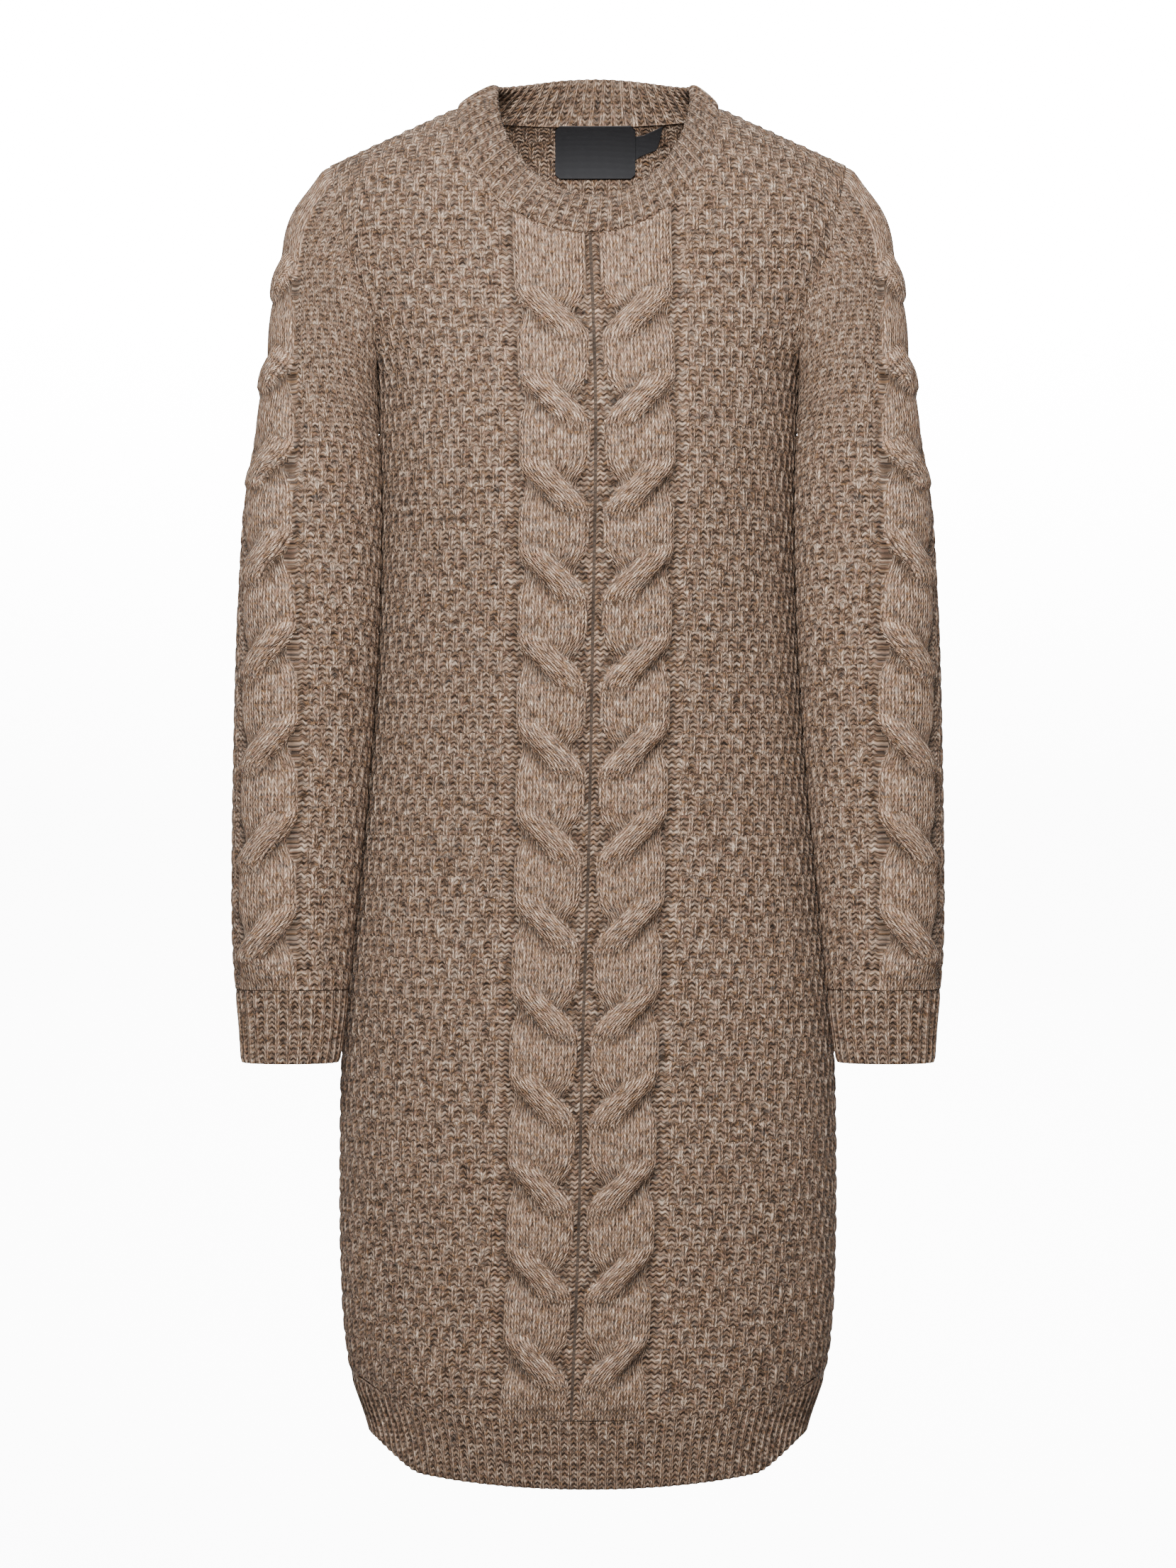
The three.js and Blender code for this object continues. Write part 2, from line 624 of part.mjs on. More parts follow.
function sleeveNormal(at, degrees) {
  const a = Math.max(at, 0.02);
  const b = Math.min(a + 0.1, sleeveSections.length - 1);
  const along = sleeveSpot(b, degrees).sub(sleeveSpot(b - 0.1, degrees));
  const around = sleeveSpot(a, degrees + 2).sub(sleeveSpot(a, degrees - 2));
  return along.cross(around).normalize();
}

// Columns: eight across the cable, the rest spread over the remaining ring
function sleeveAngle(at, j, cols) {
  const cableCols = 8;
  const { cable, depth, reach } = sleeveSection(at);
  const even = 90 + (j - cableCols / 2) * 360 / cols;
  const radius = (depth + reach.length()) / 2;
  const half = cableLead / radius * 180 / Math.PI;
  let follow;
  if (j <= cableCols) follow = cable + mix(-half, half, j / cableCols);
  else follow = cable + half + (360 - 2 * half) * (j - cableCols) / (cols - cableCols);
  return mix(even, follow, ease(0, 2.5, at));
}

function sleeve(name, sign) {
  const cols = 20;
  const rows = 40;
  const atRow = (i) => {
    const f = i / rows;
    return (sleeveSections.length - 1) * mix(f, f ** 0.9, 0.4);
  };
  const mirror = (p) => vec(p.x * sign, p.y, p.z);
  const relief = (at, degrees) => {
    const { cable, depth, reach } = sleeveSection(at);
    const radius = (depth + reach.length()) / 2;
    const across = (degrees - cable) * Math.PI / 180 * radius;
    if (Math.abs(across) > 40) return 0;
    const along = sleeveCableFirstZ - sleeveSpot(at, cable).z;
    return ropeHeight(across, along, sleeveCablePitch, -1, 0);
  };
  const outer = (i, j) => {
    const at = atRow(i);
    const degrees = sleeveAngle(at, j, cols);
    const spot = sleeveSpot(at, degrees);
    const fade = clamp(Math.min(i, rows - i) / 2, 0, 1);
    if (fade > 0 && j <= 8) {
      spot.addScaledVector(sleeveNormal(at, degrees), relief(at, degrees) * fade);
    }
    return mirror(spot);
  };
  const inner = (i, j) => {
    const at = atRow(i);
    const degrees = sleeveAngle(at, j, cols);
    const spot = sleeveSpot(at, degrees);
    if (i === 0) spot.addScaledVector(armholeInward(degrees), wall);
    else spot.addScaledVector(sleeveNormal(at, degrees), -wall);
    return mirror(spot);
  };
  addPiece(name, wallGeometry({ rows, cols, outer, inner,
    fewRows: [0, 1, 2, 4, 6, 9, 12, 16, 20, 24, 28, 32, 36, rows], closed: true,
    fewCols: spaced(cols, 1), reversed: sign > 0, slantFrom: 0 }), wool);
}

sleeve('sleeve_left', 1);
sleeve('sleeve_right', -1);

// Cuffs
function cuff(name, sign) {
  const cols = 2 * cuffRibCount;
  const rows = 2;
  const spotAt = (i, j, inset) => {
    const z = mix(cuffTopZ - seamGap, cuffBottomZ, i / rows);
    const read = (column) => lookUp(cuffSections, 'z', column, z);
    const angle = j / cols * 2 * Math.PI;
    const halfX = (read('outerX') - read('innerX')) / 2 - inset;
    const x = (read('outerX') + read('innerX')) / 2 + halfX * Math.sin(angle);
    const y = read('middleY') - (read('depth') - inset) * Math.cos(angle);
    return vec(x * sign, y, z);
  };
  const outer = (i, j) => spotAt(i, j, j % 2 === 1 ? 1.2 : 0);
  const inner = (i, j) => spotAt(i, j, wall + 1.2);
  addPiece(name, wallGeometry({ rows, cols, outer, inner,
    fewRows: [0, rows], fewCols: spaced(cols, 4), closed: true,
    reversed: sign > 0 }), ribWool);
}

cuff('cuff_left', 1);
cuff('cuff_right', -1);

// Collar. Its lower edge lies on the straight steps of the panels' necklines
function necklinePoints(grid, places) {
  const list = [];
  for (const j of grid.fewCols) {
    if (Math.abs(grid.acrossAt(j)) <= 1 + neckFraction + 1e-9) {
      list.push({ outer: places.outer(grid.rows, j), inner: places.inner(grid.rows, j) });
    }
  }
  return list;
}

function collarLoop() {
  const front = necklinePoints(frontGrid, frontPlaces);
  const back = necklinePoints(backGrid, backPlaces).reverse();
  const corners = [...front, ...back];
  corners.push(corners[0]);
  const lengths = [0];
  for (let k = 1; k < corners.length; k += 1) {
    lengths.push(lengths[k - 1] + corners[k].outer.distanceTo(corners[k - 1].outer));
  }
  return (fraction) => {
    const wanted = fraction * lengths.at(-1);
    let k = 0;
    while (k < corners.length - 2 && lengths[k + 1] < wanted) k += 1;
    const f = (wanted - lengths[k]) / (lengths[k + 1] - lengths[k] || 1);
    return {
      outer: corners[k].outer.clone().lerp(corners[k + 1].outer, f),
      inner: corners[k].inner.clone().lerp(corners[k + 1].inner, f),
    };
  };
}

function collar() {
  const seamAt = collarLoop();
  const cols = 2 * collarRibCount;
  // Profile steps from the seam up the outside, over the top and down the inside
  const profile = [
    { rise: 0, out: 0, rib: 0 },
    { rise: 0.3, out: 1.4, rib: 1 },
    { rise: 0.72, out: 1.6, rib: 1 },
    { rise: 0.97, out: 0.2, rib: 0.6 },
  ];
  const topSpot = (seam) => {
    const angle = Math.atan2(seam.y / 64, seam.x / neckHalfWidth);
    const frontness = -Math.sin(angle);
    const z = frontness > 0 ? mix(14.6, -63, frontness) : mix(14.6, 26, frontness ** 2);
    const depth = frontness > 0 ? 61 : 52;
    return vec(4 + 63.7 * Math.cos(angle), depth * Math.sin(angle), z);
  };
  const frameAt = (j) => {
    const seam = seamAt(j / cols);
    const middle = seam.outer.clone().lerp(seam.inner, 0.5);
    const top = topSpot(middle);
    const up = top.clone().sub(middle);
    const around = seamAt((j + 1) / cols % 1).outer.sub(seamAt((j - 1 + cols) / cols % 1).outer);
    const out = around.clone().cross(up).normalize();
    if (out.dot(vec(middle.x, middle.y, 0)) < 0) out.negate();
    return { seam, top, up, out };
  };
  const lift = (p, up, amount) => p.clone().addScaledVector(up.clone().normalize(), amount);
  const outer = (i, j) => {
    const { seam, top, up, out } = frameAt(j);
    const step = profile[i];
    const base = lift(seam.outer, up, seamGap + 0.1);
    const crest = top.clone().addScaledVector(out, collarThick / 2);
    const bulge = step.out * (1 - step.rise * 0.4) + (j % 2 === 1 ? 1.0 * step.rib : 0);
    return base.lerp(crest, step.rise).addScaledVector(out, bulge);
  };
  const inner = (i, j) => {
    const { seam, top, up, out } = frameAt(j);
    const rise = i === 0 ? 0 : 0.94;
    const base = lift(seam.inner, up, seamGap + 0.1);
    const crest = top.clone().addScaledVector(out, -collarThick / 2);
    return base.lerp(crest, rise);
  };
  addPiece('neck_collar', wallGeometry({ rows: profile.length - 1, cols, outer, inner,
    fewRows: [0, profile.length - 1], fewCols: spaced(cols, 1), closed: true,
    reversed: false }), wool);
}

collar();

// Neck label and size tab, small plates on the inside of the back
function backPlate(name, spots, clear, thick) {
  const rows = spots.length - 1;
  const cols = spots[0].length - 1;
  const place = (i, j, off) => {
    const { x, z } = spots[i][j];
    const p = vec(x, bodyDepth(1, x, z), z);
    return p.addScaledVector(bodyNormal(1, x, z), -(wall + off));
  };
  const outer = (i, j) => place(i, j, clear + thick);
  const inner = (i, j) => place(i, j, clear);
  addPiece(name, wallGeometry({ rows, cols, outer, inner, 
    fewRows: spaced(rows, 1), fewCols: spaced(cols, 1), closed: false,
    reversed: false }), black);
}

function roundedPlate(middleX, topZ, width, height, corner, rows, cols) {
  const spots = [];
  for (let i = 0; i <= rows; i += 1) {
    const v = i / rows;
    const z = topZ - height + height * v;
    const edge = Math.min(v, 1 - v) * height;
    const cut = edge < corner ? corner - Math.sqrt(corner ** 2 - (corner - edge) ** 2) : 0;
    const line = [];
    for (let j = 0; j <= cols; j += 1) {
      line.push({ x: middleX + (width / 2 - cut) * (2 * j / cols - 1), z });
    }
    spots.push(line);
  }
  return spots;
}

const labelTopZ = -6.5;
const tabFold = { left: 33, right: 50, topZ: -13, lowZ: -31, tip: 5 };

backPlate('neck_label', roundedPlate(labelMiddleX, labelTopZ, labelWidth, labelHeight, 3, 4, 4),
  1.2, 0.9);

function tabSpots() {
  const { left, right, topZ, lowZ, tip } = tabFold;
  return [
    [{ x: left, z: lowZ }, { x: left + 6, z: lowZ + 4 }, { x: right - 4, z: lowZ + 8 }],
    [{ x: left, z: mix(lowZ, topZ, 0.5) }, { x: left + 8, z: mix(lowZ, topZ, 0.6) },
      { x: right - 2, z: mix(lowZ, topZ, 0.75) }],
    [{ x: left, z: topZ - 2 }, { x: left + 8, z: topZ - 1 }, { x: right, z: topZ + tip }],
  ];
}

backPlate('size_tab', tabSpots(), 1.2, 0.8);

export default dress;
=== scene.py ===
import math
import time

import bmesh
import bpy
import numpy as np
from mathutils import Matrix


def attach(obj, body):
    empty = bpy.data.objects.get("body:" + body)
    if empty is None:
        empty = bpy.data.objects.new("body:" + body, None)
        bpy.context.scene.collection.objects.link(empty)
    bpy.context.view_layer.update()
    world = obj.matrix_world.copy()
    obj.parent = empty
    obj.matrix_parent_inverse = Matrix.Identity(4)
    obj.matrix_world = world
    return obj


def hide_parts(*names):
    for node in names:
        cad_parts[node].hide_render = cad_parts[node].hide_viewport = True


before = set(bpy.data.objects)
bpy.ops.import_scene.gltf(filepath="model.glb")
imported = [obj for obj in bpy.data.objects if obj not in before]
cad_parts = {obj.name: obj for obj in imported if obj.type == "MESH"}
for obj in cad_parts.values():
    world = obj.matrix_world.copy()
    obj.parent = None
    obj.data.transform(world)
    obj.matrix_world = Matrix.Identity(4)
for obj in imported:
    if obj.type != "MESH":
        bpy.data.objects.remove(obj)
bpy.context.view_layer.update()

started = time.time()


def say(text):
    print(f"stage: {text} at {time.time() - started:.0f} s")


# Sizes are in millimetres, the scene is in metres
mm = 0.001


# Small helpers, all for whole arrays
def mix(a, b, f):
    return a + (b - a) * f


def ease(low, high, value):
    f = np.clip((value - low) / (high - low), 0, 1)
    return f * f * (3 - 2 * f)


def lookUp(table, key, name, at):
    places = np.array([row[key] for row in table], dtype=float)
    values = np.array([row[name] for row in table], dtype=float)
    if places[1] < places[0]:
        places, values = places[::-1], values[::-1]
    last = len(places) - 1
    ahead = np.minimum(np.arange(last + 1) + 1, last)
    behind = np.maximum(np.arange(last + 1) - 1, 0)
    slope = (values[ahead] - values[behind]) / (places[ahead] - places[behind])
    at = np.clip(np.asarray(at, dtype=float), places[0], places[-1])
    k = np.clip(np.searchsorted(places, at, side="right") - 1, 0, last - 1)
    span = places[k + 1] - places[k]
    f = (at - places[k]) / span
    f2, f3 = f * f, f * f * f
    return (mix(values[k], values[k + 1], 3 * f2 - 2 * f3)
            + (f3 - 2 * f2 + f) * span * slope[k] + (f3 - f2) * span * slope[k + 1])


# Rows with named columns
def table(columns, *rows):
    return [dict(zip(columns.split(), row)) for row in rows]


def unit(v):
    return v / np.maximum(np.linalg.norm(v, axis=-1, keepdims=True), 1e-9)


def stack(x, y, z):
    return np.stack(np.broadcast_arrays(x, y, z), axis=-1).astype(float)


# Main sizes of the dress. probeZ is the height where the hem's length is measured
body = dict(wall=3.0, squareness=2.2, seamY=0.0, neckHalf=86.0, neckFront=90.0, neckBack=4.0,
            shoulderX=171.0, shoulderZ=-38.5, shoulderRound=70.0,
            armpitX=142.0, armpitZ=-178.0, hemLow=-903.0, hemRise=15.5, riseFrom=82.0,
            riseTo=22.0, hemBow=4.3, ribHeight=44.5, ribLoss=4.5, ribLossFrom=90, probeZ=-850.0)

# Body sections: height, half width, depth in front and behind
bodySections = table(
    "z half front back",
    (30, 190, 47, 69),
    (0, 188, 53, 75),
    (-43, 185, 61, 82),
    (-90, 178, 72, 91),
    (-140, 160, 84, 98),
    (-178, 142, 97, 97),
    (-230, 138, 107, 92),
    (-300, 137.5, 106, 84),
    (-380, 141, 102, 83),
    (-450, 147, 100, 92),
    (-520, 153.5, 101, 104),
    (-600, 161.5, 104, 111),
    (-680, 164, 106, 111),
    (-780, 163, 106, 109),
    (-834, 157.5, 105, 108),
    (-874, 145, 102, 105),
    (-910, 139.5, 99, 102),
)

# Edge of the armhole seen from the front
armholeEdge = table(
    "z x",
    (-38.5, 171), (-64, 166), (-86, 162), (-104, 156),
    (-122, 148), (-141, 141), (-160, 138.5), (-178, 142),
)

# Soft folds: a groove between two points of a panel, with its width and depth
folds = table(
    "side fromX fromZ toX toZ width depth",
    (-1, 138, -700, 134, -862, 13, 4.5),
    (-1, -142, -690, -136, -862, 13, 4.5),
    (-1, 139, -172, 118, -120, 8, 3),
    (-1, -139, -172, -118, -120, 8, 3),
    (1, 136, -700, 132, -862, 14, 4),
    (1, -136, -690, -130, -862, 14, 4),
    (1, 139, -172, 116, -126, 9, 3),
    (1, -139, -172, -116, -126, 9, 3),
    (1, -60, -372, 60, -380, 22, 3.5),
)


# Body surface. side is -1 in front and 1 behind
def ridgeHeight(x):
    slope = -body["shoulderZ"] / (body["shoulderX"] - body["neckHalf"])
    off = abs(x) / body["neckHalf"]
    rise = np.where(off > 1, 1 - off, (1 - off * off) / 2)
    return rise * body["neckHalf"] * slope


def foldDepth(side, x, z):
    total = 0.0
    for fold in folds:
        if fold["side"] != side:
            continue
        dx, dz = fold["toX"] - fold["fromX"], fold["toZ"] - fold["fromZ"]
        f = ((x - fold["fromX"]) * dx + (z - fold["fromZ"]) * dz) / (dx * dx + dz * dz)
        f = np.clip(f, 0, 1)
        off = np.hypot(x - fold["fromX"] - f * dx, z - fold["fromZ"] - f * dz) / fold["width"]
        total = total + fold["depth"] * np.exp(-off * off) * (ease(0, 0.45, f) + 0.001)
    return total


def bodyDepth(side, x, z, folded=True):
    half = lookUp(bodySections, "z", "half", z)
    deep = lookUp(bodySections, "z", "front" if side < 0 else "back", z)
    inside = np.clip(1 - abs(x / half) ** body["squareness"], 0, 1)
    rise = np.clip((ridgeHeight(x) - z) / body["shoulderRound"], 0, 1)
    roundOver = np.sqrt(np.clip(1 - (1 - rise) ** 2, 0, 1))
    depth = deep * inside ** (1 / body["squareness"]) * roundOver
    if folded:
        depth = depth - foldDepth(side, x, z) * ease(0, 30, depth)
    return body["seamY"] + side * depth


def edgeX(z):
    below = lookUp(bodySections, "z", "half", z)
    above = lookUp(armholeEdge, "z", "x", z)
    slope = -body["shoulderZ"] / (body["shoulderX"] - body["neckHalf"])
    ridge = body["neckHalf"] + (0 - z) / slope
    upper = np.where(z > body["shoulderZ"], ridge, above)
    return np.where(z <= body["armpitZ"], below, upper)


def bodyNormal(side, x, z):
    step = 0.4
    reach = edgeX(z) - 1
    px = np.where(z < body["armpitZ"], np.clip(x, -reach, reach), x)
    pz = np.minimum(z, ridgeHeight(px) - 1)
    dx = (bodyDepth(side, px + step, pz) - bodyDepth(side, px - step, pz)) / (2 * step)
    dz = (bodyDepth(side, px, pz + step) - bodyDepth(side, px, pz - step)) / (2 * step)
    return unit(stack(-dx * side, side, -dz * side))


# Place across the panel at a length of cloth from the cable zone's edge
def acrossAt(side, z, start, distance, steps=32):
    shape = np.broadcast(z, start, distance).shape
    z, start, distance = (np.broadcast_to(v, shape).ravel() for v in (z, start, distance))
    end = edgeX(z)
    bend = np.sin(np.linspace(0, math.pi / 2, steps + 1))
    xs = start[:, None] + (end - start)[:, None] * bend
    ys = bodyDepth(side, xs, z[:, None], folded=False)
    lengths = np.concatenate([np.zeros((len(z), 1)),
                              np.cumsum(np.hypot(np.diff(xs), np.diff(ys)), axis=1)], axis=1)
    total = lengths[:, -1]
    wanted = np.clip(distance, 0, total)
    k = np.clip((lengths <= wanted[:, None]).sum(axis=1) - 1, 0, steps - 1)
    rowAt = np.arange(len(z))
    span = np.maximum(lengths[rowAt, k + 1] - lengths[rowAt, k], 1e-9)
    f = np.clip((wanted - lengths[rowAt, k]) / span, 0, 1)
    x = mix(xs[rowAt, k], xs[rowAt, k + 1], f)
    return x.reshape(shape), total.reshape(shape)


def toSeam(side, x, z):
    f = np.sin(np.linspace(0, math.pi / 2, 17))
    half = lookUp(bodySections, "z", "half", z)
    x = abs(np.asarray(x, dtype=float))
    at = x[..., None] + (half - x)[..., None] * f
    ys = bodyDepth(side, at, z)
    return np.hypot(np.diff(at), np.diff(ys)).sum(axis=-1)


def hemZ(side, x):
    away = toSeam(side, x, body["probeZ"])
    corner = body["hemRise"] * (1 - ease(body["riseTo"], body["riseFrom"], away))
    return body["hemLow"] + corner + body["hemBow"] * (x / 100) ** 2


def ribTopZ(side, x):
    away = toSeam(side, x, body["probeZ"])
    loss = body["ribLoss"] * (1 - ease(0, body["ribLossFrom"], away))
    return hemZ(side, x) + body["ribHeight"] - loss


def necklineZ(side, x):
    drop = body["neckFront"] if side < 0 else body["neckBack"]
    inside = np.sqrt(np.clip(1 - (x / body["neckHalf"]) ** 2, 0, 1))
    return np.where(abs(x) < body["neckHalf"], -drop * inside, ridgeHeight(x))


# Mesh from a grid whose points a function places
def gridObject(name, cols, rows, points, uvs, faceData=None, hollow=None, flip=False):
    bm = bmesh.new()
    bm.loops.layers.uv.new("UVMap")
    bmesh.ops.create_grid(bm, x_segments=cols, y_segments=rows, size=1, calc_uvs=True)
    mesh = bpy.data.meshes.new(name)
    bm.to_mesh(mesh)
    bm.free()
    count = len(mesh.vertices)
    raw = np.empty(count * 3)
    mesh.vertices.foreach_get("co", raw)
    raw = raw.reshape(-1, 3)
    j = np.rint((raw[:, 0] + 1) / 2 * cols).astype(int)
    i = np.rint((raw[:, 1] + 1) / 2 * rows).astype(int)
    mesh.vertices.foreach_set("co", (points[i, j] * mm).ravel())
    loopVerts = np.empty(len(mesh.loops), dtype=int)
    mesh.loops.foreach_get("vertex_index", loopVerts)
    loopUv = uvs[i[loopVerts], j[loopVerts]].copy()
    # Hollowness per point, read by the knit material for its painted shade in hollows and painted light
    # on ridges
    if hollow is not None:
        layer = mesh.attributes.new("hollow", "FLOAT", "POINT")
        layer.data.foreach_set("value", hollow[i, j].astype(np.float32))
    if faceData:
        faceVerts = loopVerts.reshape(-1, 4)
        kinds, loopUv = faceData(i[faceVerts], j[faceVerts], loopUv.reshape(-1, 4, 2))
        layer = mesh.attributes.new("kind", "FLOAT", "FACE")
        layer.data.foreach_set("value", kinds.astype(np.float32))
    mesh.uv_layers[0].data.foreach_set("uv", loopUv.reshape(-1).astype(np.float32))
    bm = bmesh.new()
    bm.from_mesh(mesh)
    bmesh.ops.remove_doubles(bm, verts=bm.verts, dist=2e-5)
    bmesh.ops.dissolve_degenerate(bm, edges=bm.edges, dist=1e-6)
    bmesh.ops.holes_fill(bm, edges=[e for e in bm.edges if e.is_boundary], sides=0)
    if flip:
        bmesh.ops.reverse_faces(bm, faces=bm.faces)
    for face in bm.faces:
        face.smooth = True
    for edge in bm.edges:
        edge.smooth = edge.calc_face_angle(0) < 1.1
    bm.to_mesh(mesh)
    bm.free()
    mesh.update()
    obj = bpy.data.objects.new(name, mesh)
    bpy.context.scene.collection.objects.link(obj)
    return obj


# What a face shows: knitted bars, a cable, the purl ground beside it, or a rib
kindOf = dict(bars=0, cable=1, purl=2, rib=3)
knit = dict(wale=4.45, course=3.3, barCourses=4, barHeight=0.85, gridStep=2.225)


# Knitted bars of the side panels: raised where a wale is knit, for four courses
def barRelief(u, v):
    block = np.clip(np.sin(v / knit["barCourses"] * math.pi) * 2.2, -1, 1)
    return knit["barHeight"] * np.sin(u * math.pi) * block


# How far each point lies below the cloth around it, from -1 to 1. The knit material paints shade into
# the hollows and light onto the ridges from it
def hollowness(relief, reach=3, depth=1.7):
    around = relief
    for axis in (0, 1):
        pad = [(reach, reach) if k == axis else (0, 0) for k in (0, 1)]
        padded = np.pad(around, pad, mode="edge")
        size = relief.shape[axis]
        around = sum(np.take(padded, range(k, k + size), axis=axis)
                     for k in range(2 * reach + 1)) / (2 * reach + 1)
    return np.clip((around - relief) / depth, -1, 1)


# The plain inside keeps every point of an edge and joins the rest to a coarse lattice
def coarse(points, atEdge, step=6):
    rows, cols = points.shape[0] - 1, points.shape[1] - 1
    i, j = np.indices(points.shape[:2])
    near = (np.clip(np.rint(i / step).astype(int) * step, 0, rows - rows % step),
            np.clip(np.rint(j / step).astype(int) * step, 0, cols - cols % step))
    return np.where(atEdge, i, near[0]), np.where(atEdge, j, near[1])


# Rope cable: a broad dome pinched at each crossing, and the strand that goes over it.
# Gives the height, the strand (1 over, -1 dome, 0 ground), the dome's middle and half width
cable = dict(pitch=56.3, firstZ=-144.0, offset=26.6, domeHalf=22.0, pinch=6.2,
             pinchReach=0.17, strandOff=11.2, strandHalf=11.6, reach=0.33, wale=12.5 / 3,
             rest=5.2, overLift=2.8, outerDrop=3.8, innerDrop=1.4, ground=-1.4,
             overStretch=1.15, fade=20)


def ropeField(across, along, pitch, outerSign, lean):
    apart = fromCrossing(along, pitch)
    pinch = np.exp(-(apart / cable["pinchReach"]) ** 2)
    wide = np.cos(apart * math.pi) ** 2
    outward = across * outerSign
    domeMiddle = lean * (0.5 + 2.2 * pinch)
    dome = cable["domeHalf"] - cable["pinch"] * pinch
    share = np.clip(1 - abs((outward - domeMiddle) / dome) ** 2.3, 0, 1) ** 0.55
    side = (outward - strandMiddle(apart)) / cable["strandHalf"]
    drop = mix(cable["innerDrop"], cable["outerDrop"], ease(-0.4, 0.4, side))
    low = (cable["rest"] - drop * wide) * share
    round3 = np.clip(1 - abs(side) ** 3, 0, 1) ** 0.5
    sunk = 5 * (1 - ease(0.05, 0.5, wide))
    high = (cable["rest"] + cable["overLift"] * wide - sunk) * round3
    height = np.maximum(low, high)
    strand = np.where(height <= 0, 0.0, np.where(high > low, 1.0, -1.0))
    return np.where(height <= 0, cable["ground"], height), strand, domeMiddle, dome


# Distance to the nearest crossing in pitches. The first one is at 0
def fromCrossing(along, pitch):
    return np.maximum(along / pitch - np.maximum(np.round(along / pitch), 0), -0.5)


def strandMiddle(apart):
    return -np.sin(np.clip(apart / cable["reach"], -1, 1) * math.pi / 2) * cable["strandOff"]


# Stitches follow the strand that a face belongs to, or fan out with the dome
def strandUv(loopUv, across, along, strand, kinds, sgn, pitch, lean):
    apart = fromCrossing(along, pitch)
    outward = across * sgn
    _height, _strand, domeMiddle, dome = ropeField(across, along, pitch, sgn, lean)
    over = strand[:, None] > 0
    fan = (outward - domeMiddle) * cable["domeHalf"] / dome
    u = np.where(over, outward - strandMiddle(apart), fan) / cable["wale"] * sgn
    v = np.where(over, -along * cable["overStretch"], -along) / knit["course"]
    roped = (kinds == kindOf["cable"])[:, None, None]
    return np.where(roped, np.stack([u + 200, v], axis=-1), loopUv)


# Middle line and half width of the cable zone on the front
cableZone = table(
    "z middle half",
    (-90, 2.5, 52), (-208, 6, 51),
    (-380, 3.6, 50), (-494, 1.4, 49.2),
    (-620, -2.6, 48.5), (-740, -5.2, 48),
    (-860, -10, 47),
)


